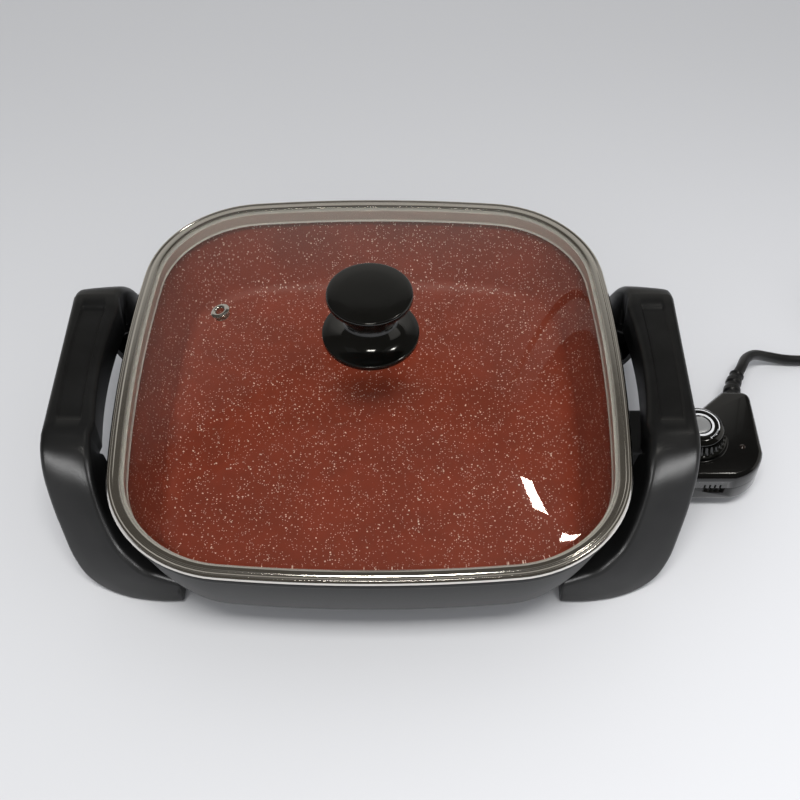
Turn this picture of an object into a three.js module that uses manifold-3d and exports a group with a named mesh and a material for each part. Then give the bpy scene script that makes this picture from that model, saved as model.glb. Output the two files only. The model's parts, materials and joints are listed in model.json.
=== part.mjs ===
// Electric skillet: a square cast pan on two moulded leg handles, with a domed glass lid,
// a plug-in temperature control with a turning dial, and its coiled lead.
// Millimetres, +Z up, the table at z = 0, the grips on -X and +X, the front on -Y.
import * as THREE from 'three';
import * as BufferGeometryUtils from 'three/addons/utils/BufferGeometryUtils.js';
import Module from 'manifold-3d';

const wasm = await Module();
wasm.setup();

// Fits shared by every piece
const SEAT = 0.3; // gap between two pieces that touch
const RUNNING = 0.5; // gap round a piece that slides out
const OVERRUN = 1; // how far a cutting body passes the face it cuts
const WIDE_CUT = 600; // side of a block that trims to a plane

// Plan shape shared by the pan and the lid: a square with bowed sides and large corners
const LID_HALF = 150;
const CORNER_RADIUS = 74;
const BOW_ANGLE = THREE.MathUtils.degToRad(5.3);
const SIDE_STEPS = 3;
const CORNER_STEPS = 6;

// Sides of round pieces
const HOLE_SEGMENTS = 12;
const SCREW_SEGMENTS = 8;
const SHAFT_SEGMENTS = 14;
const KNOB_SEGMENTS = 24;

// Pan
const PAN_TOP = 90.4;
const PAN_BASE = 30;
const PAN_FLOOR = 6;
const PAN_WALL = 3.2;
const PAN_LIP_INSET = 2; // from the lid's edge to the lip's
const PAN_LIP_HALF = LID_HALF - PAN_LIP_INSET;
const PAN_LIP_HEIGHT = 4;
const PAN_LIP_REACH = 2.2; // how far the lip stands out from the wall
const PAN_NECK_HALF = PAN_LIP_HALF - PAN_LIP_REACH;
const PAN_TAPER = 13.8; // how far the wall draws in towards the foot
const PAN_FOOT_HALF = PAN_NECK_HALF - PAN_TAPER;
const PAN_FOOT_FILLET = 12;
const PAN_INNER_FILLET = 12;
const PAN_DRAFT = THREE.MathUtils.degToRad(20);
const PAN_BELLY = 3;
const PAN_EDGE_ROUND = 0.9;
const RIDGE_INSET = 54; // from the pan's foot to the ridge's middle line
const RIDGE_HALF = PAN_FOOT_HALF - RIDGE_INSET;
const RIDGE_WIDTH = 13;
const RIDGE_DEPTH = 4.5;
const RIDGE_SETBACK = 5;

// Heating element and its terminals
const ELEMENT_RADIUS = 3.5;
const ELEMENT_BEND = 26;
const ELEMENT_SIDES = 8;
const ELEMENT_STEPS = 36;
const TERMINAL_SPREAD = 10;
const ELEMENT_SETBACK = 16; // from the pan's foot to the element's end
const ELEMENT_END_X = PAN_FOOT_HALF - ELEMENT_SETBACK;
const TERMINAL_RADIUS = 2.2;
const TERMINAL_REACH = 42;
const INSULATOR_RADIUS = 4;
const INSULATOR_COLLAR = 1.4;
const INSULATOR_TAIL = 4;

// Socket guard on the pan's right side
const GUARD_STANDOFF = 1;
const GUARD_LENGTH = 39;
const GUARD_BACK_X = PAN_FOOT_HALF + GUARD_STANDOFF;
const GUARD_MOUTH_X = GUARD_BACK_X + GUARD_LENGTH;
const GUARD_HALF_WIDTH = 17.5;
const GUARD_ABOVE = 8.8;
const GUARD_BELOW = 13;
const GUARD_WALL = 2;
const GUARD_CORNER = 3.5;
const GUARD_TAB_WIDTH = 9;
const GUARD_TAB_REACH = 15;
const GUARD_TAB_THICK = 2.2;

// Handles: a strap that bends down at each end and turns in to make a foot
const GRIP_CLEAR = 10; // finger room between the lid's edge and the grip
const GRIP_INNER_X = LID_HALF + GRIP_CLEAR;
const GRIP_WIDTH = 28;
const GRIP_TOP = 100;
const GRIP_BOW = 4;
const GRIP_SKIRT = 24;
const FOOT_SETBACK = 45; // from the lid's edge to the feet's outer faces
const FOOT_TURN_IN = 48; // from the grip to the feet's tips
const LEG_FORWARD = 57; // from the grip's end to the feet's outer faces
const FOOT_FACE_Y = LID_HALF - FOOT_SETBACK;
const FOOT_TIP_X = GRIP_INNER_X - FOOT_TURN_IN;
const GRIP_HALF_LENGTH = FOOT_FACE_Y - LEG_FORWARD;
const FOOT_HEIGHT = 32;
const FOOT_SKIRT = 20;
const HANDLE_WALL = 3;
const HANDLE_ROUND = 4;
const HANDLE_CROWN = 0.7;
const FOOT_CLEAR = 1.5;
const RECESS_WIDTH = 15;
const RECESS_SETBACK = 2;
const RECESS_HALF_LENGTH = GRIP_HALF_LENGTH - RECESS_SETBACK;
const RECESS_DEPTH = 1.4;
const RECESS_SLOPE = 3;
const LEG_STEPS = 10;
const RIB_THICK = 2.4;

// Mounting lugs, foot pads and their screws
const LUG_REACH = 14; // from the feet's tips to the bosses
const LUG_INSET = 23; // from the feet's outer faces to the bosses
const LUG_X = FOOT_TIP_X - LUG_REACH;
const LUG_Y = FOOT_FACE_Y - LUG_INSET;
const LUG_RADIUS = 9;
const LUG_TOP = 25;
const LUG_THICK = 5;
const BOSS_RADIUS = 7;
const PAD_LENGTH = 26;
const PAD_WIDTH = 11;
const PAD_THICK = 2.6;
const PAD_SOCKET = 1.4;
const HANDLE_SCREW_RADIUS = 2;
const HANDLE_SCREW_HEAD = 4.2;
const HANDLE_SCREW_HEAD_HEIGHT = 2.4;
const HANDLE_SCREW_LENGTH = 12;
const GUARD_SCREW_RADIUS = 1.4;
const GUARD_SCREW_HEAD = 3;
const GUARD_SCREW_HEAD_HEIGHT = 1.8;
const GUARD_SCREW_LENGTH = 6;

// Lid
const RIM_LEAF = 0.5;
const RIM_ROUND = 1.2;
const RIM_HEM = 2.4; // how far the rolled edge stands out from the band below it
const RIM_COVER = 8;
const SKIRT_CLEAR = 2.1; // between the pan's wall and the skirt that hangs inside it
const RIM_RETURN = PAN_LIP_INSET + PAN_LIP_REACH + PAN_WALL + SKIRT_CLEAR + RIM_LEAF;
const SKIRT_DROP = 8.3;
const SKIRT_CURL = 1;
const GLASS_THICK = 3.2;
const GLASS_EDGE_INSET = RIM_HEM + RIM_LEAF + SEAT;
const DOME_RISE = 27;
const DOME_EDGE_POWER = 1.15;
const VENT_X = -91;
const VENT_Y = 31;
const VENT_FLANGE = 5.85;
const VENT_BORE = 2.6;
const VENT_WALL = 0.7;
const VENT_LIP = 4.7;
const VENT_FLANGE_THICK = 1.5;

// Lid knob and its fixing
const KNOB_HEIGHT = 34.8;
const KNOB_TOP_RADIUS = 24.5;
const KNOB_BASE_RADIUS = 28;
const KNOB_WAIST_RADIUS = 11.5;
const KNOB_WAIST_HEIGHT = 19;
const KNOB_TOP_EDGE = 3.4;
const KNOB_BASE_EDGE = 3.2;
const KNOB_CROWN = 0.8;
const INSERT_RADIUS = 4;
const INSERT_LENGTH = 16;
const GASKET_RADIUS = 15;
const GASKET_THICK = 1.4;
const WASHER_RADIUS = 9;
const WASHER_THICK = 1.2;
const KNOB_SCREW_RADIUS = 2.5;
const KNOB_SCREW_HEAD = 5;
const KNOB_SCREW_HEAD_HEIGHT = 3;

// Temperature control, measured from the guard's mouth and the terminals' axis
const PROBE_ABOVE = 8.8;
const PROBE_BELOW = 14.2;
const PROBE_PARTING = -2.7;
const PROBE_WALL = 2.2;
const PROBE_BEVEL = 2.4;
const NOSE_CLEAR = 7; // from the guard's back to the nose's end
const PROBE_NOSE = GUARD_LENGTH - NOSE_CLEAR;
const PROBE_NECK = 4;
const PROBE_SHOULDER_X = 15;
const PROBE_REACH = 70.5;
const PROBE_FRONT_Y = -37.2;
const PROBE_REAR_Y = 32.5;
const PROBE_FRONT_ROUND = 20;
const PROBE_REAR_ROUND = 7;
const PROBE_CUT_LENGTH = 19;
const PROBE_TOP_LENGTH = 11;
const ROD_RADIUS = 3.2;
const ROD_BEFORE_MOUTH = 86;
const ROD_BEHIND_MOUTH = 12;
const ROD_BOSS_WALL = 1.6;
const ROD_BOSS_DEPTH = 9;
const SLEEVE_WALL = 1.1;
const SLEEVE_LENGTH = 30;
const SLEEVE_SETBACK = 2;
const DIAL_X = 30;
const DIAL_Y = -7;
const DIAL_TOP_RADIUS = 15;
const DIAL_BASE_RADIUS = 18.4;
const DIAL_HEIGHT = 12.5;
const DIAL_LIFT = 1.6;
const DIAL_SKIRT = 8.2;
const DIAL_FLUTES = 20;
const DIAL_FLUTE_DEPTH = 0.7;
const DIAL_CAP_RADIUS = 6.6;
const DIAL_CAP_THICK = 1.2;
const DIAL_RING_RADIUS = 20;
const DIAL_RING_HEIGHT = 1;
const SHAFT_RADIUS = 3;
const SHAFT_COLLAR = 5;
const SHAFT_COLLAR_THICK = 1.5;
const SHAFT_BELOW = 4;
const SHAFT_IN_DIAL = 8;
const LENS_X = 58;
const LENS_Y = -13.5;
const LENS_RADIUS = 2.3;
const LENS_LENGTH = 4;
const LENS_CROWN = 0.7;
const POST_RADIUS = 3.6;
const CASE_SCREW_RADIUS = 1.3;
const CASE_SCREW_HEAD = 2.6;
const CASE_SCREW_HEAD_HEIGHT = 1.6;
const CASE_SCREW_SINK = 1;
const SLOT_COUNT = 4;
const SLOT_PITCH = 3.2;
const SLOT_WIDTH = 1.1;
const SLOT_DEPTH = 0.9;
const SLOT_HEIGHT = 7;
const SLOT_FIRST_X = 32;
const STAT_LENGTH = 26;
const STAT_WIDTH = 11;
const STAT_PLATE = 1;
const STAT_HEIGHT = 7;
const BLADE_THICK = 0.6;
const BLADE_WIDTH = 7;
const CONTACT_RADIUS = 1.8;

// Strain relief and lead
const RELIEF_X = 62;
const RELIEF_RADIUS = 6.2;
const RELIEF_TIP_RADIUS = 4.8;
const RELIEF_LENGTH = 23;
const RELIEF_SIDE = 7;
const RELIEF_RIBS = 3;
const RELIEF_RIB_HEIGHT = 0.8;
const RELIEF_SIDES = 12;
const CORD_RADIUS = 3.5;
const CORD_SIDES = 8;
const COIL_SIDES = 6;
const COIL_MEAN_RADIUS = 38.5;
const COIL_TURNS_PER_LAYER = 2;
const COIL_PITCH = 7.6;
const COIL_LAYER_HEIGHT = 7.6;
const COIL_AWAY = 124; // from the strain relief's tip to the coil's middle
const COIL_ASIDE = 30.2; // from the strain relief's tip to the line that the coil starts on
const REST_LIFT = 0.1; // how far the lead's skin lies above the table
const COIL_STEPS_PER_TURN = 24;
const LEAD_STEPS = 26;
const TIE_THICK = 0.8;
const TIE_CLEAR = 0.8;
const TIE_WIDTH = 8;
const TAIL_LENGTH = 38;

// Plug
const PLUG_LENGTH = 36;
const PLUG_HALF_WIDTH = 13;
const PLUG_SIDES = 20;
const PLUG_SQUARENESS = 3 / 5;
const PLUG_PIN_RADIUS = 2;
const PLUG_PIN_LENGTH = 19;
const PLUG_PIN_SPREAD = 9.5;
const PLUG_PIN_OFFSET = 3;
const PLUG_PIN_SOCKET = 4;

// Heights and places that follow from the sizes above
const ELEMENT_Z = PAN_BASE - 2 * SEAT - ELEMENT_RADIUS;
const LID_SEAT = PAN_TOP + SEAT;
const CORD_LIFT = TIE_THICK + TIE_CLEAR;
const COIL_OUTER = COIL_MEAN_RADIUS + (COIL_PITCH * COIL_TURNS_PER_LAYER) / 2;
const HANDLE_OUTER_X = GRIP_INNER_X + GRIP_WIDTH;
const PROBE_OUTER_X = GUARD_MOUTH_X + PROBE_REACH;
const RELIEF_TIP_X = GUARD_MOUTH_X + RELIEF_X + RELIEF_SIDE;
const RELIEF_TIP_Y = PROBE_REAR_Y + SEAT + RELIEF_LENGTH;
const COIL_X = RELIEF_TIP_X + COIL_AWAY;
const COIL_START_Y = RELIEF_TIP_Y + COIL_ASIDE;

// Materials
const finish = (color, roughness, metalness) =>
  new THREE.MeshStandardMaterial({ color, roughness, metalness });
const COATED_PAN = finish(0x4a2a26, 0.45, 0.3);
const BLACK_MOULDING = finish(0x242526, 0.6, 0);
const BLACK_ENAMEL = finish(0x161617, 0.35, 0);
const GLOSSY_BLACK = finish(0x0e0e0f, 0.15, 0);
const STEEL = finish(0xb9b5ad, 0.25, 1);
const BRASS = finish(0xb08d4f, 0.35, 1);
const SILICONE = finish(0xb8b8b4, 0.7, 0);
const RUBBER = finish(0x1a1a1a, 0.8, 0);
const CERAMIC = finish(0xe6e1d5, 0.6, 0);
const SILVER_CAP = finish(0xc9ccca, 0.35, 0.6);
const AMBER_LENS = finish(0x5a1a10, 0.15, 0);
const CORD_JACKET = finish(0x141415, 0.55, 0);
const GLASS = new THREE.MeshStandardMaterial({
  color: 0xdfe6e2,
  roughness: 0.05,
  metalness: 0,
  transparent: true,
  opacity: 0.35,
});

// Welds shared corners, drops triangles that have collapsed and turns the faces outward
function weld(geometry) {
  const bare = geometry.clone();
  bare.deleteAttribute('normal');
  bare.deleteAttribute('uv');
  const merged = BufferGeometryUtils.mergeVertices(bare);
  const corner = merged.attributes.position;
  const order = merged.index.array;
  const kept = [];
  const a = new THREE.Vector3();
  const b = new THREE.Vector3();
  const c = new THREE.Vector3();
  let volume = 0;
  for (let i = 0; i < order.length; i += 3) {
    const [p, q, r] = [order[i], order[i + 1], order[i + 2]];
    if (p === q || q === r || r === p) continue;
    kept.push(p, q, r);
    a.fromBufferAttribute(corner, p);
    b.fromBufferAttribute(corner, q);
    c.fromBufferAttribute(corner, r);
    volume += a.dot(b.cross(c));
  }
  if (volume < 0) kept.reverse();
  const welded = new THREE.BufferGeometry();
  welded.setAttribute('position', corner);
  welded.setIndex(kept);
  welded.computeVertexNormals();
  return welded;
}

function solid(geometry) {
  const welded = weld(geometry);
  return new wasm.Manifold(new wasm.Mesh({
    numProp: 3,
    vertProperties: new Float32Array(welded.attributes.position.array),
    triVerts: new Uint32Array(welded.index.array),
  }));
}

function surfaceOf(body) {
  const mesh = body.getMesh();
  const geometry = new THREE.BufferGeometry();
  geometry.setAttribute('position', new THREE.Float32BufferAttribute(mesh.vertProperties, 3));
  geometry.setIndex(Array.from(mesh.triVerts));
  geometry.computeVertexNormals();
  return geometry;
}

function joined(geometries) {
  return geometries.map(solid).reduce((all, next) => all.add(next));
}

function cut(geometry, tools) {
  return surfaceOf(tools.reduce((left, tool) => left.subtract(solid(tool)), solid(geometry)));
}

// Lofted and cut bodies are closed already; the others still carry unshared corners
function piece(name, geometry, material) {
  const closed = geometry.attributes.uv ? weld(geometry) : geometry;
  const mesh = new THREE.Mesh(closed, material);
  mesh.name = name;
  return mesh;
}

// One ring of the shared plan shape, a given distance inside the lid's edge
function squareRing(inset, z) {
  const spread = LID_HALF - CORNER_RADIUS;
  const reach = spread / (1 + Math.sin(BOW_ANGLE) - Math.cos(BOW_ANGLE));
  const sideRadius = reach + CORNER_RADIUS - inset;
  const cornerRadius = CORNER_RADIUS - inset;
  const cornerCentre = reach * Math.sin(BOW_ANGLE);
  const ring = [];
  for (let quarter = 0; quarter < 4; quarter += 1) {
    const local = [];
    for (let i = 0; i < SIDE_STEPS; i += 1) {
      const angle = -BOW_ANGLE + (2 * BOW_ANGLE * i) / SIDE_STEPS;
      local.push([spread - reach + sideRadius * Math.cos(angle), sideRadius * Math.sin(angle)]);
    }
    for (let i = 0; i < CORNER_STEPS; i += 1) {
      const angle = BOW_ANGLE + ((Math.PI / 2 - 2 * BOW_ANGLE) * i) / CORNER_STEPS;
      local.push([
        cornerCentre + cornerRadius * Math.cos(angle),
        cornerCentre + cornerRadius * Math.sin(angle),
      ]);
    }
    const turn = (quarter * Math.PI) / 2;
    for (const [x, y] of local) {
      ring.push(new THREE.Vector3(
        x * Math.cos(turn) - y * Math.sin(turn),
        x * Math.sin(turn) + y * Math.cos(turn),
        z,
      ));
    }
  }
  return ring;
}

// Skins a row of rings; the ends are joined to each other or closed by the triangles given
function loft(rings, endTriangles) {
  const count = rings[0].length;
  const positions = rings.flat().flatMap((p) => [p.x, p.y, p.z]);
  const index = [];
  const spans = endTriangles ? rings.length - 1 : rings.length;
  for (let k = 0; k < spans; k += 1) {
    const here = k * count;
    const next = ((k + 1) % rings.length) * count;
    for (let i = 0; i < count; i += 1) {
      const j = (i + 1) % count;
      index.push(here + i, here + j, next + j, here + i, next + j, next + i);
    }
  }
  if (endTriangles) {
    const last = (rings.length - 1) * count;
    for (const [p, q, r] of endTriangles) {
      index.push(p, r, q, last + p, last + q, last + r);
    }
  }
  const geometry = new THREE.BufferGeometry();
  geometry.setAttribute('position', new THREE.Float32BufferAttribute(positions, 3));
  geometry.setIndex(index);
  return weld(geometry);
}

// Triangles that close a ring, worked out on its outline in the plane and wound as it is
function capOf(outline) {
  const faces = THREE.ShapeUtils.triangulateShape(outline, []);
  return THREE.ShapeUtils.isClockWise(outline) ? faces.map(([p, q, r]) => [p, r, q]) : faces;
}

// A band along the shared plan shape with a closed section of [inset, z] points
function squareBand(section) {
  return loft(section.map(([inset, z]) => squareRing(inset, z)));
}

// A dish or plate along the plan shape whose first and last rings are filled in
function squareDish(section) {
  const rings = section.map(([inset, z]) => squareRing(inset, z));
  return loft(rings, capOf(rings[0].map((p) => new THREE.Vector2(p.x, p.y))));
}

function arcPoints(centreX, centreY, radius, from, to, steps) {
  return Array.from({ length: steps + 1 }, (_, i) => {
    const angle = from + ((to - from) * i) / steps;
    return [centreX + radius * Math.cos(angle), centreY + radius * Math.sin(angle)];
  });
}

function bowPoints(start, bend, end, steps) {
  const curve = new THREE.QuadraticBezierCurve(
    new THREE.Vector2(...start),
    new THREE.Vector2(...bend),
    new THREE.Vector2(...end),
  );
  return curve.getPoints(steps).map((p) => [p.x, p.y]);
}

// A turned body about +Z from [radius, z] points
function turned(profile, segments) {
  const points = profile.map(([r, z]) => new THREE.Vector2(r, z));
  return new THREE.LatheGeometry(points, segments).rotateX(Math.PI / 2);
}

function post(radius, from, to, segments = SHAFT_SEGMENTS) {
  return turned([[0, from], [radius, from], [radius, to], [0, to]], segments);
}

function ringPost(inner, outer, from, to, segments = SHAFT_SEGMENTS) {
  return turned([[inner, from], [outer, from], [outer, to], [inner, to], [inner, from]], segments);
}

// Lays a body made about +Z along +X
function alongX(geometry) {
  return geometry.rotateY(Math.PI / 2);
}

function block(minimum, maximum) {
  const size = maximum.map((value, i) => value - minimum[i]);
  const middle = maximum.map((value, i) => (value + minimum[i]) / 2);
  return new THREE.BoxGeometry(...size).translate(...middle);
}

function plate(shape, from, to, curveSegments = 6) {
  return new THREE.ExtrudeGeometry(shape, {
    depth: to - from,
    bevelEnabled: false,
    curveSegments,
  }).translate(0, 0, from);
}

// A stadium outline between two points
function capsuleShape(ax, ay, bx, by, radius) {
  const angle = Math.atan2(by - ay, bx - ax);
  const shape = new THREE.Shape();
  shape.absarc(bx, by, radius, angle - Math.PI / 2, angle + Math.PI / 2, false);
  shape.absarc(ax, ay, radius, angle + Math.PI / 2, angle + (3 * Math.PI) / 2, false);
  shape.closePath();
  return shape;
}

function roundedRectangle(left, right, bottom, top, radius) {
  const shape = new THREE.Shape();
  shape.moveTo(left + radius, bottom);
  shape.lineTo(right - radius, bottom);
  shape.absarc(right - radius, bottom + radius, radius, -Math.PI / 2, 0, false);
  shape.lineTo(right, top - radius);
  shape.absarc(right - radius, top - radius, radius, 0, Math.PI / 2, false);
  shape.lineTo(left + radius, top);
  shape.absarc(left + radius, top - radius, radius, Math.PI / 2, Math.PI, false);
  shape.lineTo(left, bottom + radius);
  shape.absarc(left + radius, bottom + radius, radius, Math.PI, (3 * Math.PI) / 2, false);
  return shape;
}

// Moves every side of a closed outline inward by one wall
function insetOutline(points, wall) {
  const count = points.length;
  const sides = points.map((p, i) => {
    const q = points[(i + 1) % count];
    const along = q.clone().sub(p).normalize();
    return { start: p.clone().add(new THREE.Vector2(-along.y, along.x).multiplyScalar(wall)), along };
  });
  return sides.map((side, i) => {
    const before = sides[(i + count - 1) % count];
    const turn = before.along.cross(side.along);
    const gap = side.start.clone().sub(before.start);
    const step = gap.cross(side.along) / turn;
    return before.start.clone().add(before.along.clone().multiplyScalar(step));
  });
}

// A screw with its head at the bottom, pointing up from the head's underside
function screw(radius, headRadius, headHeight, length) {
  const point = radius / 2;
  return turned([
    [0, -headHeight],
    [headRadius - point / 2, -headHeight],
    [headRadius, -headHeight + point / 2],
    [headRadius, 0],
    [radius, 0],
    [radius, length - point],
    [radius - point, length],
    [0, length],
  ], SCREW_SEGMENTS);
}

// Pan

function elementPath(leadEnd) {
  const path = new THREE.CurvePath();
  const half = RIDGE_HALF;
  const bend = ELEMENT_BEND;
  const at = (x, y) => new THREE.Vector3(x, y, ELEMENT_Z);
  const line = (ax, ay, bx, by) => path.add(new THREE.LineCurve3(at(ax, ay), at(bx, by)));
  const corner = (ax, ay, mx, my, bx, by) =>
    path.add(new THREE.QuadraticBezierCurve3(at(ax, ay), at(mx, my), at(bx, by)));
  const turnIn = bend / 2;
  line(leadEnd, TERMINAL_SPREAD, half + turnIn, TERMINAL_SPREAD);
  corner(half + turnIn, TERMINAL_SPREAD, half, TERMINAL_SPREAD, half, TERMINAL_SPREAD + turnIn);
  line(half, TERMINAL_SPREAD + turnIn, half, half - bend);
  corner(half, half - bend, half, half, half - bend, half);
  line(half - bend, half, -half + bend, half);
  corner(-half + bend, half, -half, half, -half, half - bend);
  line(-half, half - bend, -half, -half + bend);
  corner(-half, -half + bend, -half, -half, -half + bend, -half);
  line(-half + bend, -half, half - bend, -half);
  corner(half - bend, -half, half, -half, half, -half + bend);
  line(half, -half + bend, half, -TERMINAL_SPREAD - turnIn);
  corner(half, -TERMINAL_SPREAD - turnIn, half, -TERMINAL_SPREAD, half + turnIn, -TERMINAL_SPREAD);
  line(half + turnIn, -TERMINAL_SPREAD, leadEnd, -TERMINAL_SPREAD);
  return path;
}

function alongElement(outline, leadEnd) {
  return new THREE.ExtrudeGeometry(new THREE.Shape(asPlane(outline)), {
    steps: ELEMENT_STEPS,
    bevelEnabled: false,
    extrudePath: elementPath(leadEnd),
  });
}

function elementTube(radius) {
  const section = arcPoints(0, 0, radius, 0, 2 * Math.PI, ELEMENT_SIDES).slice(0, -1);
  return alongElement(section, ELEMENT_END_X);
}

// The cast ridge that holds the element; its section's first axis points down
function elementRidge() {
  const half = RIDGE_WIDTH / 2;
  const up = ELEMENT_Z - PAN_BASE - OVERRUN;
  const down = ELEMENT_Z - PAN_BASE + RIDGE_DEPTH;
  const section = [[up, -half], [down, -half], [down, half], [up, half]];
  return alongElement(section, ELEMENT_END_X - RIDGE_SETBACK);
}

function panDish() {
  const inset = (half) => LID_HALF - half;
  const filletZ = PAN_BASE + PAN_FOOT_FILLET;
  const filletHalf = PAN_FOOT_HALF - PAN_FOOT_FILLET;
  const neckZ = PAN_TOP - PAN_LIP_HEIGHT;
  const footAngle = -PAN_DRAFT;
  const outerFillet = arcPoints(filletHalf, filletZ, PAN_FOOT_FILLET, -Math.PI / 2, footAngle, 2);
  const outerStart = outerFillet[outerFillet.length - 1];
  const outerWall = bowPoints(
    outerStart,
    [PAN_NECK_HALF - PAN_BELLY, (neckZ + filletZ) / 2],
    [PAN_NECK_HALF, neckZ],
    3,
  ).slice(1);
  const lip = [
    [PAN_LIP_HALF - PAN_EDGE_ROUND, neckZ],
    [PAN_LIP_HALF, neckZ + PAN_EDGE_ROUND],
    [PAN_LIP_HALF, PAN_TOP - PAN_EDGE_ROUND],
    [PAN_LIP_HALF - PAN_EDGE_ROUND, PAN_TOP],
  ];
  const innerTop = PAN_NECK_HALF - PAN_WALL;
  const innerFoot = PAN_FOOT_HALF - PAN_WALL;
  const innerZ = PAN_BASE + PAN_FLOOR + PAN_INNER_FILLET;
  const innerHalf = innerFoot - PAN_INNER_FILLET;
  const innerFillet = arcPoints(innerHalf, innerZ, PAN_INNER_FILLET, footAngle, -Math.PI / 2, 3);
  const innerWall = bowPoints(
    [innerTop, PAN_TOP - PAN_EDGE_ROUND],
    [innerTop - PAN_BELLY, (neckZ + filletZ) / 2],
    innerFillet[0],
    3,
  ).slice(0, -1);
  const section = [
    ...outerFillet,
    ...outerWall,
    ...lip,
    [innerTop + PAN_EDGE_ROUND, PAN_TOP],
    ...innerWall,
    ...innerFillet,
  ];
  return squareDish(section.map(([half, z]) => [inset(half), z]));
}

function lugPlaces() {
  return [[-1, -1], [1, -1], [1, 1], [-1, 1]].map(([sx, sy]) => [sx * LUG_X, sy * LUG_Y]);
}

function guardScrewPlaces() {
  const y = TERMINAL_SPREAD + ELEMENT_RADIUS + SEAT + GUARD_TAB_WIDTH / 2;
  const x = GUARD_BACK_X - GUARD_TAB_REACH + GUARD_TAB_WIDTH / 2;
  return [[x, -y], [x, y]];
}

function makePan() {
  const bossRadius = ROD_RADIUS + RUNNING;
  const bossHalf = bossRadius + ROD_BOSS_WALL;
  const rodTip = GUARD_MOUTH_X - ROD_BEFORE_MOUTH;
  const rodBoss = block(
    [rodTip - ROD_BOSS_WALL - RUNNING, -bossHalf, PAN_BASE - ROD_BOSS_DEPTH],
    [ELEMENT_END_X, bossHalf, PAN_BASE + OVERRUN],
  );
  const rodBore = alongX(post(bossRadius, rodTip - RUNNING, ELEMENT_END_X + OVERRUN))
    .translate(0, 0, ELEMENT_Z);
  const bosses = lugPlaces().map(([x, y]) =>
    post(BOSS_RADIUS, LUG_TOP + SEAT, PAN_BASE + OVERRUN).translate(x, y, 0));
  const screwTop = LUG_TOP - LUG_THICK - SEAT + HANDLE_SCREW_LENGTH + SEAT;
  const holes = lugPlaces().map(([x, y]) =>
    post(HANDLE_SCREW_RADIUS + SEAT, 0, screwTop, HOLE_SEGMENTS).translate(x, y, 0));
  const guardTop = PAN_BASE - GUARD_TAB_THICK - 2 * SEAT + GUARD_SCREW_LENGTH + SEAT;
  const guardHoles = guardScrewPlaces().map(([x, y]) =>
    post(GUARD_SCREW_RADIUS + SEAT, 0, guardTop, HOLE_SEGMENTS).translate(x, y, 0));
  const body = surfaceOf(joined([panDish(), elementRidge(), rodBoss, ...bosses]));
  const tools = [elementTube(ELEMENT_RADIUS + SEAT), rodBore, ...holes, ...guardHoles];
  return piece('pan', cut(body, tools), COATED_PAN);
}

function makeTerminals() {
  const meshes = [piece('heating_element', elementTube(ELEMENT_RADIUS), STEEL)];
  const start = ELEMENT_END_X + SEAT;
  for (const [side, name] of [[-1, 'front'], [1, 'rear']]) {
    const y = side * TERMINAL_SPREAD;
    const pin = turned([
      [0, start],
      [TERMINAL_RADIUS, start],
      [TERMINAL_RADIUS, start + TERMINAL_REACH - TERMINAL_RADIUS],
      [TERMINAL_RADIUS / 2, start + TERMINAL_REACH],
      [0, start + TERMINAL_REACH],
    ], SHAFT_SEGMENTS);
    const bore = TERMINAL_RADIUS + SEAT;
    const collar = GUARD_BACK_X + GUARD_WALL + SEAT;
    const insulator = turned([
      [bore, GUARD_BACK_X - INSULATOR_TAIL],
      [INSULATOR_RADIUS, GUARD_BACK_X - INSULATOR_TAIL],
      [INSULATOR_RADIUS, collar],
      [INSULATOR_RADIUS + INSULATOR_COLLAR / 2, collar],
      [INSULATOR_RADIUS + INSULATOR_COLLAR / 2, collar + INSULATOR_COLLAR],
      [bore, collar + INSULATOR_COLLAR],
      [bore, GUARD_BACK_X - INSULATOR_TAIL],
    ], HOLE_SEGMENTS);
    meshes.push(piece(`terminal_pin_${name}`, alongX(pin).translate(0, y, ELEMENT_Z), BRASS));
    meshes.push(piece(
      `terminal_insulator_${name}`,
      alongX(insulator).translate(0, y, ELEMENT_Z),
      CERAMIC,
    ));
  }
  return meshes;
}

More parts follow.
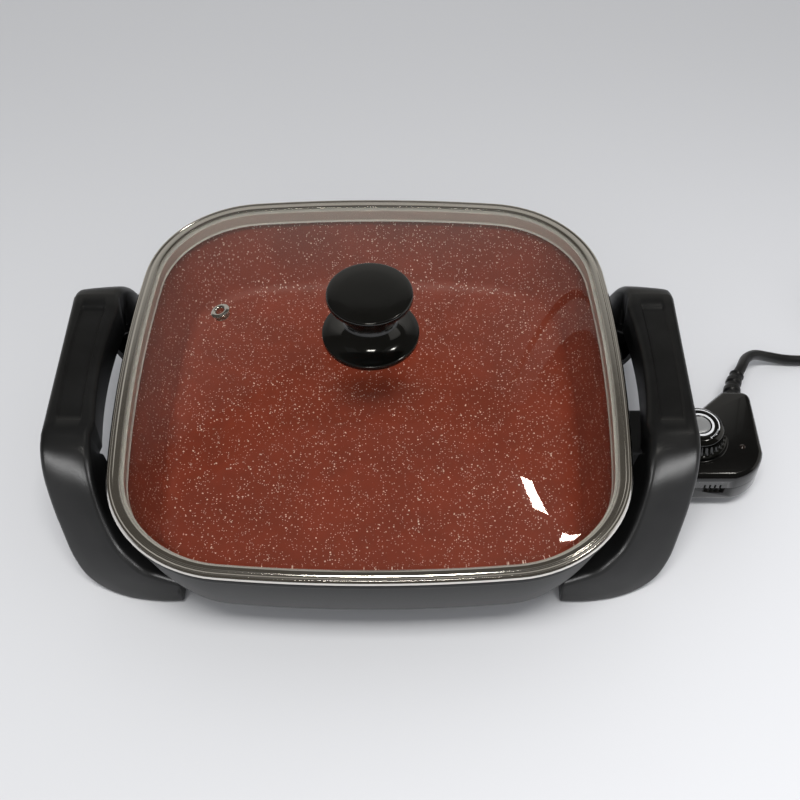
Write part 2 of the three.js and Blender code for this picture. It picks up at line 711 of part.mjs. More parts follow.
function makeGuard() {
  const width = GUARD_HALF_WIDTH;
  const tube = (outset, from, to) => {
    const shape = roundedRectangle(
      -width - outset,
      width + outset,
      -GUARD_BELOW - outset,
      GUARD_ABOVE + outset,
      GUARD_CORNER + outset,
    );
    const basis = new THREE.Matrix4().makeBasis(
      new THREE.Vector3(0, 1, 0),
      new THREE.Vector3(0, 0, 1),
      new THREE.Vector3(1, 0, 0),
    );
    return plate(shape, from, to, 4).applyMatrix4(basis).translate(0, 0, ELEMENT_Z);
  };
  const tabTop = PAN_BASE - SEAT;
  const tabEnd = GUARD_BACK_X + GUARD_WALL;
  const tabs = guardScrewPlaces().map(([x, y]) => plate(
    capsuleShape(x, y, tabEnd - GUARD_TAB_WIDTH / 2, y, GUARD_TAB_WIDTH / 2),
    tabTop - GUARD_TAB_THICK,
    tabTop,
  ));
  const shell = surfaceOf(joined([tube(0, GUARD_BACK_X, GUARD_MOUTH_X), ...tabs]));
  const tools = [
    tube(-GUARD_WALL, GUARD_BACK_X + GUARD_WALL, GUARD_MOUTH_X + OVERRUN),
    alongX(post(ROD_RADIUS + RUNNING, GUARD_BACK_X - OVERRUN, GUARD_MOUTH_X))
      .translate(0, 0, ELEMENT_Z),
  ];
  for (const side of [-1, 1]) {
    tools.push(
      alongX(post(INSULATOR_RADIUS + SEAT, GUARD_BACK_X - OVERRUN, GUARD_MOUTH_X, SHAFT_SEGMENTS))
        .translate(0, side * TERMINAL_SPREAD, ELEMENT_Z),
    );
  }
  for (const [x, y] of guardScrewPlaces()) {
    tools.push(post(GUARD_SCREW_RADIUS + SEAT, 0, PAN_BASE, HOLE_SEGMENTS).translate(x, y, 0));
  }
  const meshes = [piece('probe_guard', cut(shell, tools), BLACK_ENAMEL)];
  guardScrewPlaces().forEach(([x, y], i) => {
    const shape = screw(
      GUARD_SCREW_RADIUS,
      GUARD_SCREW_HEAD,
      GUARD_SCREW_HEAD_HEIGHT,
      GUARD_SCREW_LENGTH,
    );
    shape.translate(x, y, tabTop - GUARD_TAB_THICK - SEAT);
    meshes.push(piece(`guard_screw_${i === 0 ? 'front' : 'rear'}`, shape, STEEL));
  });
  return meshes;
}

// Handles

// Edges of the leg from the grip's end to the foot's tip, as shares of the leg's
// inward reach, its forward reach and the grip's height
const outerEdgeShares = [
  { reach: 0.962, forward: 0.1, height: 1 },
  { reach: 0.975, forward: 0.26, height: 0.955 },
  { reach: 0.97, forward: 0.41, height: 0.84 },
  { reach: 0.943, forward: 0.54, height: 0.65 },
  { reach: 0.9, forward: 0.65, height: 0.44 },
  { reach: 0.85, forward: 0.74, height: 0.24 },
  { reach: 0.765, forward: 0.81, height: 0.1 },
  { reach: 0.63, forward: 0.87, height: 0.02 },
  { reach: 0.44, forward: 0.95, height: 0 },
  { reach: 0.2, forward: 1, height: 0 },
  { reach: 0, forward: 1, height: 0 },
];
// The inner edge's height is a share of what lies above the foot's own height
const innerEdgeShares = [
  { reach: 0.6, forward: 0.1, height: 1 },
  { reach: 0.59, forward: 0.3, height: 0.94 },
  { reach: 0.565, forward: 0.5, height: 0.78 },
  { reach: 0.535, forward: 0.65, height: 0.56 },
  { reach: 0.49, forward: 0.77, height: 0.36 },
  { reach: 0.43, forward: 0.86, height: 0.2 },
  { reach: 0.35, forward: 0.93, height: 0.1 },
  { reach: 0.27, forward: 0.98, height: 0.02 },
  { reach: 0.19, forward: 1, height: -0.02 },
  { reach: 0.1, forward: 1, height: -0.07 },
  { reach: 0, forward: 1, height: -0.13 },
];

function edgeCurve(shares, lowest) {
  const reach = HANDLE_OUTER_X - FOOT_TIP_X;
  const forward = FOOT_FACE_Y - GRIP_HALF_LENGTH;
  return new THREE.CatmullRomCurve3(shares.map((share) => new THREE.Vector3(
    FOOT_TIP_X + reach * share.reach,
    GRIP_HALF_LENGTH + forward * share.forward,
    lowest + (GRIP_TOP - lowest) * share.height,
  )), false, 'centripetal');
}

// Stations along half a handle, from the middle of the grip to the rear foot's tip
function halfStations() {
  const gripSteps = [0, RECESS_HALF_LENGTH / 2, RECESS_HALF_LENGTH - RECESS_SLOPE, RECESS_HALF_LENGTH];
  const stations = gripSteps.map((y, i) => {
    const bow = GRIP_BOW * (y / GRIP_HALF_LENGTH) ** 2;
    return {
      outer: new THREE.Vector3(HANDLE_OUTER_X - bow, y, GRIP_TOP),
      inner: new THREE.Vector3(GRIP_INNER_X - bow, y, GRIP_TOP),
      recess: i === gripSteps.length - 1 ? 0 : RECESS_DEPTH,
      skirt: GRIP_SKIRT,
    };
  });
  const outer = edgeCurve(outerEdgeShares, 0);
  const inner = edgeCurve(innerEdgeShares, FOOT_HEIGHT);
  for (let i = 0; i <= LEG_STEPS; i += 1) {
    const share = i / LEG_STEPS;
    stations.push({
      outer: outer.getPoint(share),
      inner: inner.getPoint(share),
      recess: 0,
      skirt: THREE.MathUtils.lerp(GRIP_SKIRT, FOOT_SKIRT, share),
    });
  }
  return stations;
}

function handleStations() {
  const rear = halfStations();
  const mirrored = rear.slice(1).reverse().map((station) => ({
    ...station,
    outer: station.outer.clone().multiply(new THREE.Vector3(1, -1, 1)),
    inner: station.inner.clone().multiply(new THREE.Vector3(1, -1, 1)),
  }));
  const stations = [...mirrored, ...rear];
  stations.forEach((station, i) => {
    const before = stations[Math.max(i - 1, 0)];
    const after = stations[Math.min(i + 1, stations.length - 1)];
    const middle = (s) => s.outer.clone().add(s.inner).multiplyScalar(1 / 2);
    station.along = middle(after).sub(middle(before)).normalize();
    station.across = station.outer.clone().sub(station.inner);
    station.width = station.across.length();
    station.across.normalize();
    station.face = station.across.clone().cross(station.along).normalize();
  });
  return stations;
}

// Channel section in the station's plane: across the strap and out of its face
function channelOutline(station) {
  const { width, skirt, recess } = station;
  const wall = HANDLE_WALL;
  const start = (width - RECESS_WIDTH) / 2;
  const end = width - start;
  const corner = arcPoints(HANDLE_ROUND, -HANDLE_ROUND, HANDLE_ROUND, Math.PI, Math.PI / 2, 2);
  const opposite = corner.map(([x, y]) => [width - x, y]).reverse();
  const crown = (4 * HANDLE_CROWN * start * end) / (width * width);
  return [
    [0, -skirt],
    ...corner,
    [start, crown],
    [start + recess, crown - recess],
    [end - recess, crown - recess],
    [end, crown],
    ...opposite,
    [width, -skirt],
    [width - wall, -skirt],
    [width - wall, -wall],
    [wall, -wall],
    [wall, -skirt],
  ];
}

// What lies inside the channel, for ribs and end walls
function coreOutline(station) {
  const { width, skirt } = station;
  const half = HANDLE_WALL / 2;
  const depth = skirt - HANDLE_WALL / 2;
  return [[half, -half], [width - half, -half], [width - half, -depth], [half, -depth]];
}

function placeOutline(outline, station, shift = 0) {
  return outline.map(([across, out]) => station.inner.clone()
    .addScaledVector(station.across, across)
    .addScaledVector(station.face, out)
    .addScaledVector(station.along, shift));
}

function asPlane(outline) {
  return outline.map(([x, y]) => new THREE.Vector2(x, y));
}

function ribAt(station, thick) {
  const outline = coreOutline(station);
  const rings = [-thick / 2, thick / 2].map((shift) => placeOutline(outline, station, shift));
  return loft(rings, capOf(asPlane(outline)));
}

function makeHandleShape() {
  const stations = handleStations();
  const outlines = stations.map(channelOutline);
  const rings = outlines.map((outline, i) => placeOutline(outline, stations[i]));
  const channel = loft(rings, capOf(asPlane(outlines[0])));
  const first = stations[0];
  const last = stations[stations.length - 1];
  const tips = [
    loft([0, HANDLE_WALL].map((s) => placeOutline(coreOutline(first), first, s)),
      capOf(asPlane(coreOutline(first)))),
    loft([-HANDLE_WALL, 0].map((s) => placeOutline(coreOutline(last), last, s)),
      capOf(asPlane(coreOutline(last)))),
  ];
  const middle = (stations.length - 1) / 2;
  const ribSpots = [4, 8].flatMap((offset) => [middle - offset, middle + offset]);
  const ribs = ribSpots.map((i) => ribAt(stations[i], RIB_THICK));
  const lugs = [-1, 1].map((side) => plate(
    capsuleShape(
      LUG_X,
      side * LUG_Y,
      FOOT_TIP_X + LUG_RADIUS,
      side * (FOOT_FACE_Y - LUG_RADIUS - HANDLE_WALL / 2),
      LUG_RADIUS,
    ),
    LUG_TOP - LUG_THICK,
    LUG_TOP,
  ));
  const body = surfaceOf(joined([channel, ...tips, ...ribs, ...lugs]));
  const tools = [block([0, -WIDE_CUT, -WIDE_CUT], [WIDE_CUT, WIDE_CUT, FOOT_CLEAR])];
  for (const side of [-1, 1]) {
    tools.push(post(HANDLE_SCREW_RADIUS + SEAT, 0, PAN_BASE, HOLE_SEGMENTS)
      .translate(LUG_X, side * LUG_Y, 0));
    tools.push(plate(padShape(side, SEAT), 0, FOOT_CLEAR + PAD_SOCKET));
  }
  return cut(body, tools);
}

function padShape(side, clearance) {
  const reach = (PAD_LENGTH - PAD_WIDTH) / 2;
  const x = FOOT_TIP_X + PAD_LENGTH / 2 + HANDLE_WALL;
  const y = side * (FOOT_FACE_Y - FOOT_SKIRT / 2 - HANDLE_WALL / 2);
  return capsuleShape(x - reach, y, x + reach, y, PAD_WIDTH / 2 + clearance);
}

function makeHandles() {
  const group = new THREE.Group();
  const shape = makeHandleShape();
  const padTop = FOOT_CLEAR + PAD_SOCKET - SEAT;
  for (const [turn, side] of [[0, 'right'], [Math.PI, 'left']]) {
    const half = new THREE.Group();
    half.rotation.z = turn;
    half.add(piece(`handle_${side}`, shape, BLACK_MOULDING));
    for (const across of [-1, 1]) {
      const end = across * (turn === 0 ? 1 : -1) < 0 ? 'front' : 'rear';
      half.add(piece(
        `foot_pad_${side}_${end}`,
        plate(padShape(across, 0), padTop - PAD_THICK, padTop),
        RUBBER,
      ));
      const fixing = screw(
        HANDLE_SCREW_RADIUS,
        HANDLE_SCREW_HEAD,
        HANDLE_SCREW_HEAD_HEIGHT,
        HANDLE_SCREW_LENGTH,
      ).translate(LUG_X, across * LUG_Y, LUG_TOP - LUG_THICK - SEAT);
      half.add(piece(`handle_screw_${side}_${end}`, fixing, STEEL));
    }
    group.add(half);
  }
  return group;
}

// Lid, measured from the pan's lip

// Rings of the dome from its foot to the flat seat of the knob, as shares of its half width
const domeShares = [1, 0.96, 0.86, 0.7, 0.48, 0.2];

function domeHeight(share) {
  return DOME_RISE * Math.max(0, 1 - share * share) ** DOME_EDGE_POWER;
}

// A flat margin under the rim, then the dome in rings that shrink towards the middle
function glassRings(base) {
  const edge = squareRing(RIM_RETURN, 0);
  const dome = domeShares.map((share) => edge.map((p) =>
    new THREE.Vector3(p.x * share, p.y * share, base + domeHeight(share))));
  return [squareRing(GLASS_EDGE_INSET, base), ...dome];
}

function glassBase() {
  return RIM_LEAF + SEAT;
}

// Underside of the glass where the knob is fixed
function crownBase() {
  return glassBase() + domeHeight(domeShares[domeShares.length - 1]);
}

function makeGlass() {
  const base = glassBase();
  const under = glassRings(base).reverse();
  const over = glassRings(base + GLASS_THICK);
  const cap = capOf(under[0].map((p) => new THREE.Vector2(p.x, p.y)));
  const body = loft([...under, ...over], cap);
  const vent = ventFrame();
  const reach = GLASS_THICK + DOME_RISE;
  const ventHole = post(VENT_BORE + VENT_WALL + SEAT, -reach, reach).applyMatrix4(vent);
  const knobHole = post(KNOB_SCREW_RADIUS + SEAT, 0, base + reach + GLASS_THICK);
  return piece('lid_glass', cut(body, [ventHole, knobHole]), GLASS);
}

// How far out a place on the dome lies, from 0 in the middle to 1 at its foot
function domeShare(x, y) {
  const foot = squareRing(RIM_RETURN, 0);
  return Math.max(...foot.map((p, i) => {
    const q = foot[(i + 1) % foot.length];
    const normal = new THREE.Vector2(q.y - p.y, p.x - q.x);
    return (normal.x * x + normal.y * y) / (normal.x * p.x + normal.y * p.y);
  }));
}

// A frame on the dome's outer face at the vent, whose +Z leaves the glass
function ventFrame() {
  const height = (dx, dy) => domeHeight(domeShare(VENT_X + dx, VENT_Y + dy));
  const span = 2 * VENT_FLANGE;
  const slopeX = (height(VENT_FLANGE, 0) - height(-VENT_FLANGE, 0)) / span;
  const slopeY = (height(0, VENT_FLANGE) - height(0, -VENT_FLANGE)) / span;
  const normal = new THREE.Vector3(-slopeX, -slopeY, 1).normalize();
  const upright = new THREE.Vector3(0, 0, 1);
  return new THREE.Matrix4().compose(
    new THREE.Vector3(VENT_X, VENT_Y, glassBase() + GLASS_THICK + height(0, 0)),
    new THREE.Quaternion().setFromUnitVectors(upright, normal),
    new THREE.Vector3(1, 1, 1),
  );
}

function makeVent() {
  const outer = VENT_BORE + VENT_WALL;
  const top = 2 * SEAT;
  const under = -GLASS_THICK - 2 * SEAT;
  const step = VENT_FLANGE_THICK / 2;
  const eyelet = turned([
    [VENT_BORE, under - step],
    [VENT_LIP, under - step],
    [VENT_LIP, under],
    [outer, under],
    [outer, top],
    [VENT_FLANGE, top],
    [VENT_FLANGE, top + step / 2],
    [VENT_LIP, top + step],
    [outer + VENT_WALL, top + step],
    [outer, top + VENT_FLANGE_THICK],
    [VENT_BORE + VENT_WALL / 2, top + VENT_FLANGE_THICK],
    [VENT_BORE, top + step],
    [VENT_BORE, under - step],
  ], SHAFT_SEGMENTS);
  return piece('vent_eyelet', eyelet.applyMatrix4(ventFrame()), STEEL);
}

function makeRim() {
  const leaf = RIM_LEAF;
  const top = glassBase() + GLASS_THICK + SEAT;
  const high = top + leaf;
  const channel = GLASS_EDGE_INSET - SEAT;
  const hem = high / 2;
  const round = arcPoints(RIM_ROUND, high - RIM_ROUND, RIM_ROUND, Math.PI / 2, Math.PI, 2);
  return piece('lid_rim', squareBand([
    [RIM_COVER, high - leaf / 2],
    [RIM_COVER - leaf, high],
    ...round,
    [0, hem + leaf / 2],
    [leaf / 2, hem],
    [RIM_HEM, hem],
    [RIM_HEM, leaf / 2],
    [RIM_HEM + leaf / 2, 0],
    [RIM_RETURN - leaf, 0],
    [RIM_RETURN - leaf, -SKIRT_DROP + SKIRT_CURL],
    [RIM_RETURN - leaf + SKIRT_CURL, -SKIRT_DROP],
    [RIM_RETURN + SKIRT_CURL, -SKIRT_DROP],
    [RIM_RETURN, -SKIRT_DROP + SKIRT_CURL],
    [RIM_RETURN, leaf],
    [channel, leaf],
    [channel, top],
    [RIM_COVER, top],
  ]), STEEL);
}

function makeKnob() {
  const glassUnder = crownBase();
  const glassTop = glassUnder + GLASS_THICK;
  const base = glassTop + GASKET_THICK + 2 * SEAT;
  const crown = KNOB_HEIGHT - KNOB_CROWN;
  const bore = INSERT_RADIUS + SEAT;
  const underTop = bowPoints(
    [KNOB_TOP_RADIUS - KNOB_CROWN, crown - KNOB_TOP_EDGE],
    [KNOB_WAIST_RADIUS, (crown + KNOB_WAIST_HEIGHT) / 2 + KNOB_TOP_EDGE],
    [KNOB_WAIST_RADIUS, KNOB_WAIST_HEIGHT],
    4,
  );
  const overBase = bowPoints(
    [KNOB_WAIST_RADIUS, KNOB_WAIST_HEIGHT],
    [KNOB_WAIST_RADIUS, KNOB_BASE_EDGE + KNOB_CROWN],
    [KNOB_BASE_RADIUS - KNOB_CROWN, KNOB_BASE_EDGE],
    5,
  );
  const profile = [
    [0, KNOB_HEIGHT],
    [KNOB_TOP_RADIUS / 2, KNOB_HEIGHT - KNOB_CROWN / 4],
    [KNOB_TOP_RADIUS - 2 * KNOB_CROWN, crown],
    [KNOB_TOP_RADIUS, crown - KNOB_CROWN],
    [KNOB_TOP_RADIUS, crown - KNOB_TOP_EDGE + KNOB_CROWN],
    ...underTop,
    ...overBase.slice(1),
    [KNOB_BASE_RADIUS, KNOB_BASE_EDGE - KNOB_CROWN],
    [KNOB_BASE_RADIUS, KNOB_CROWN],
    [KNOB_BASE_RADIUS - KNOB_CROWN, 0],
    [bore, 0],
    [bore, INSERT_LENGTH + 2 * SEAT],
    [0, INSERT_LENGTH + 2 * SEAT],
  ];
  const knob = turned(profile, KNOB_SEGMENTS).translate(0, 0, base);
  const thread = KNOB_SCREW_RADIUS + SEAT;
  const insert = ringPost(thread, INSERT_RADIUS, base + SEAT, base + SEAT + INSERT_LENGTH);
  const upper = ringPost(thread, GASKET_RADIUS, glassTop + SEAT, glassTop + SEAT + GASKET_THICK);
  const lowerTop = glassUnder - SEAT;
  const lower = ringPost(thread, GASKET_RADIUS * (2 / 3), lowerTop - GASKET_THICK, lowerTop);
  const washerTop = lowerTop - GASKET_THICK - SEAT;
  const washer = ringPost(thread, WASHER_RADIUS, washerTop - WASHER_THICK, washerTop);
  const headTop = washerTop - WASHER_THICK - SEAT;
  const reach = base + INSERT_LENGTH - headTop;
  const fixing = screw(KNOB_SCREW_RADIUS, KNOB_SCREW_HEAD, KNOB_SCREW_HEAD_HEIGHT, reach);
  return [
    piece('lid_knob', knob, GLOSSY_BLACK),
    piece('knob_insert', insert, BRASS),
    piece('knob_gasket_upper', upper, SILICONE),
    piece('knob_gasket_lower', lower, SILICONE),
    piece('knob_washer', washer, STEEL),
    piece('knob_screw', fixing.translate(0, 0, headTop), STEEL),
  ];
}

function makeLid() {
  const group = new THREE.Group();
  group.position.z = LID_SEAT;
  group.add(makeRim(), makeGlass(), makeVent(), ...makeKnob());
  return group;
}

// Temperature control, in its own frame at the guard's mouth

function probeOutline() {
  const noseHalf = GUARD_HALF_WIDTH - GUARD_WALL - RUNNING;
  const shape = new THREE.Shape();
  shape.moveTo(PROBE_NECK, -noseHalf);
  shape.lineTo(PROBE_SHOULDER_X, PROBE_FRONT_Y + PROBE_FRONT_ROUND / 4);
  shape.lineTo(PROBE_SHOULDER_X + PROBE_FRONT_ROUND / 4, PROBE_FRONT_Y);
  shape.lineTo(PROBE_REACH - PROBE_FRONT_ROUND, PROBE_FRONT_Y);
  shape.quadraticCurveTo(
    PROBE_REACH - PROBE_FRONT_ROUND / 5,
    PROBE_FRONT_Y + PROBE_FRONT_ROUND / 5,
    PROBE_REACH,
    PROBE_FRONT_Y + PROBE_FRONT_ROUND,
  );
  shape.lineTo(PROBE_REACH, PROBE_REAR_Y - PROBE_REAR_ROUND);
  shape.quadraticCurveTo(
    PROBE_REACH,
    PROBE_REAR_Y,
    PROBE_REACH - PROBE_REAR_ROUND,
    PROBE_REAR_Y,
  );
  const cutTop = PROBE_REACH - PROBE_REAR_ROUND - PROBE_TOP_LENGTH;
  shape.lineTo(cutTop, PROBE_REAR_Y);
  shape.lineTo(cutTop - PROBE_CUT_LENGTH, noseHalf);
  shape.lineTo(PROBE_NECK, noseHalf);
  shape.closePath();
  return shape.getPoints(4).filter((p, i, all) => i === 0 || p.distanceTo(all[0]) > OVERRUN / 2);
}

function postPlaces() {
  const rearX = PROBE_REACH - PROBE_REAR_ROUND - POST_RADIUS;
  return [
    [PROBE_SHOULDER_X + PROBE_FRONT_ROUND / 4, PROBE_FRONT_Y + PROBE_REAR_ROUND],
    [PROBE_REACH - PROBE_FRONT_ROUND / 2 - POST_RADIUS, PROBE_FRONT_Y + PROBE_FRONT_ROUND / 2],
    [rearX, PROBE_REAR_Y - PROBE_WALL / 2 - POST_RADIUS],
  ];
}

function probeSolid() {
  const outline = probeOutline();
  const bevel = PROBE_BEVEL;
  const core = new THREE.Shape(insetOutline(outline, bevel));
  const body = new THREE.ExtrudeGeometry(core, {
    depth: PROBE_ABOVE + PROBE_BELOW - 2 * bevel,
    bevelThickness: bevel,
    bevelSize: bevel,
    bevelSegments: 2,
    steps: 1,
  }).translate(0, 0, -PROBE_BELOW + bevel);
  const noseHalf = GUARD_HALF_WIDTH - GUARD_WALL - RUNNING;
  const nose = block(
    [-PROBE_NOSE, -noseHalf, -GUARD_BELOW + GUARD_WALL + RUNNING],
    [PROBE_SHOULDER_X, noseHalf, GUARD_ABOVE - GUARD_WALL - RUNNING],
  );
  const ring = post(DIAL_RING_RADIUS, PROBE_ABOVE - OVERRUN, PROBE_ABOVE + DIAL_RING_HEIGHT, KNOB_SEGMENTS)
    .translate(DIAL_X, DIAL_Y, 0);
  const cavity = plate(
    new THREE.Shape(insetOutline(outline, PROBE_WALL)),
    -PROBE_BELOW + PROBE_WALL,
    PROBE_ABOVE - PROBE_WALL,
  );
  const throatStart = -PROBE_NOSE + PROBE_NOSE / 3 + SLEEVE_LENGTH;
  const throatWall = GUARD_WALL + PROBE_WALL;
  const throat = block(
    [throatStart, -noseHalf + PROBE_WALL, -GUARD_BELOW + throatWall],
    [PROBE_SHOULDER_X, noseHalf - PROBE_WALL, GUARD_ABOVE - throatWall],
  );
  const posts = postPlaces().map(([x, y]) =>
    post(POST_RADIUS, -PROBE_BELOW + OVERRUN, PROBE_ABOVE - OVERRUN, HOLE_SEGMENTS).translate(x, y, 0));
  const hollow = solid(cavity).add(solid(throat));
  return joined([body, nose, ring]).subtract(hollow).add(joined(posts).intersect(joined([body])));
}

function probeTools() {
  const tools = [
    alongX(post(ROD_RADIUS + SEAT, -PROBE_NOSE - OVERRUN, ROD_BEHIND_MOUTH + SEAT)),
    post(SHAFT_RADIUS + SEAT, PROBE_ABOVE - PROBE_WALL - OVERRUN, PROBE_ABOVE + DIAL_HEIGHT, SHAFT_SEGMENTS)
      .translate(DIAL_X, DIAL_Y, 0),
    post(LENS_RADIUS + SEAT, PROBE_ABOVE - PROBE_WALL - OVERRUN, PROBE_ABOVE + OVERRUN, SHAFT_SEGMENTS)
      .translate(LENS_X, LENS_Y, 0),
  ];
  const sleeve = TERMINAL_RADIUS + RUNNING + SLEEVE_WALL + SEAT;
  for (const side of [-1, 1]) {
    tools.push(alongX(post(
      sleeve,
      -PROBE_NOSE + SLEEVE_SETBACK,
      -PROBE_NOSE + SLEEVE_SETBACK + SLEEVE_LENGTH + OVERRUN,
      HOLE_SEGMENTS,
    )).translate(0, side * TERMINAL_SPREAD, 0));
    tools.push(alongX(post(
      TERMINAL_RADIUS + RUNNING,
      -PROBE_NOSE - OVERRUN,
      -PROBE_NOSE + SLEEVE_SETBACK + OVERRUN,
      HOLE_SEGMENTS,
    )).translate(0, side * TERMINAL_SPREAD, 0));
  }
  for (const [x, y] of postPlaces()) {
    const seat = -PROBE_BELOW + CASE_SCREW_SINK + CASE_SCREW_HEAD_HEIGHT;
    tools.push(post(CASE_SCREW_HEAD + SEAT, -PROBE_BELOW - OVERRUN, seat, HOLE_SEGMENTS)
      .translate(x, y, 0));
    tools.push(post(CASE_SCREW_RADIUS + SEAT, seat - OVERRUN, PROBE_ABOVE - 2 * PROBE_WALL, HOLE_SEGMENTS)
      .translate(x, y, 0));
  }
  for (let i = 0; i < SLOT_COUNT; i += 1) {
    const x = SLOT_FIRST_X + i * SLOT_PITCH;
    const middle = PROBE_PARTING;
    tools.push(block(
      [x, PROBE_FRONT_Y - OVERRUN, middle - SLOT_HEIGHT / 2],
      [x + SLOT_WIDTH, PROBE_FRONT_Y + SLOT_DEPTH, middle + SLOT_HEIGHT / 2],
    ));
  }
  return tools;
}

function makeProbeCase() {
  const whole = probeTools().reduce((left, tool) => left.subtract(solid(tool)), probeSolid());
  const above = solid(block(
    [-WIDE_CUT, -WIDE_CUT, PROBE_PARTING + SEAT / 2],
    [WIDE_CUT, WIDE_CUT, WIDE_CUT],
  ));
  const below = solid(block(
    [-WIDE_CUT, -WIDE_CUT, -WIDE_CUT],
    [WIDE_CUT, WIDE_CUT, PROBE_PARTING - SEAT / 2],
  ));
  const meshes = [
    piece('probe_housing_top', surfaceOf(whole.intersect(above)), GLOSSY_BLACK),
    piece('probe_housing_bottom', surfaceOf(whole.intersect(below)), GLOSSY_BLACK),
  ];
  const length = PROBE_ABOVE + PROBE_BELOW - 3 * PROBE_WALL - CASE_SCREW_SINK - CASE_SCREW_HEAD_HEIGHT;
  postPlaces().forEach(([x, y], i) => {
    const fixing = screw(CASE_SCREW_RADIUS, CASE_SCREW_HEAD, CASE_SCREW_HEAD_HEIGHT, length);
    const seat = -PROBE_BELOW + CASE_SCREW_SINK + CASE_SCREW_HEAD_HEIGHT - SEAT;
    meshes.push(piece(`housing_screw_${i + 1}`, fixing.translate(x, y, seat), STEEL));
  });
  return meshes;
}

function makeProbeWorks() {
  const rod = turned([
    [0, -ROD_BEFORE_MOUTH],
    [ROD_RADIUS / 2, -ROD_BEFORE_MOUTH + ROD_RADIUS / 6],
    [ROD_RADIUS, -ROD_BEFORE_MOUTH + ROD_RADIUS],
    [ROD_RADIUS, ROD_BEHIND_MOUTH],
    [0, ROD_BEHIND_MOUTH],
  ], SHAFT_SEGMENTS);
  const meshes = [piece('sensor_rod', alongX(rod), STEEL)];
  const inner = TERMINAL_RADIUS + RUNNING;
  for (const [side, name] of [[-1, 'front'], [1, 'rear']]) {
    const start = -PROBE_NOSE + SLEEVE_SETBACK + SEAT;
    const sleeve = ringPost(inner, inner + SLEEVE_WALL, start, start + SLEEVE_LENGTH, HOLE_SEGMENTS);
    meshes.push(piece(
      `contact_sleeve_${name}`,
      alongX(sleeve).translate(0, side * TERMINAL_SPREAD, 0),
      BRASS,
    ));
  }
  const floor = -PROBE_BELOW + PROBE_WALL + SEAT;
  const front = DIAL_Y - STAT_WIDTH / 2;
  const left = DIAL_X - STAT_LENGTH / 2;
  const right = DIAL_X + STAT_LENGTH / 2;
  const rear = front + STAT_WIDTH;
  const frame = surfaceOf(joined([
    block([left, front, floor], [right, rear, floor + STAT_PLATE]),
    block([left, front, floor], [left + STAT_PLATE, rear, floor + STAT_HEIGHT]),
    block([right - STAT_PLATE, front, floor], [right, rear, floor + STAT_HEIGHT]),
  ]));
  const bladeZ = floor + STAT_HEIGHT + SEAT;
  const blade = surfaceOf(joined([
    block(
      [left, DIAL_Y - BLADE_WIDTH / 2, bladeZ],
      [right, DIAL_Y + BLADE_WIDTH / 2, bladeZ + BLADE_THICK],
    ),
    post(CONTACT_RADIUS, bladeZ - CONTACT_RADIUS, bladeZ + BLADE_THICK, HOLE_SEGMENTS)
      .translate(DIAL_X, DIAL_Y, 0),
  ]));
  meshes.push(piece('thermostat_frame', frame, STEEL));
  meshes.push(piece('contact_blade', blade, BRASS));
  const lensTop = PROBE_ABOVE + LENS_CROWN;
  const lens = turned([
    [0, lensTop],
    [LENS_RADIUS / 2, lensTop - LENS_CROWN / 4],
    [LENS_RADIUS, PROBE_ABOVE],
    [LENS_RADIUS, lensTop - LENS_LENGTH],
    [0, lensTop - LENS_LENGTH],
  ], SHAFT_SEGMENTS).translate(LENS_X, LENS_Y, 0);
  meshes.push(piece('pilot_lens', lens, AMBER_LENS));
  return meshes;
}

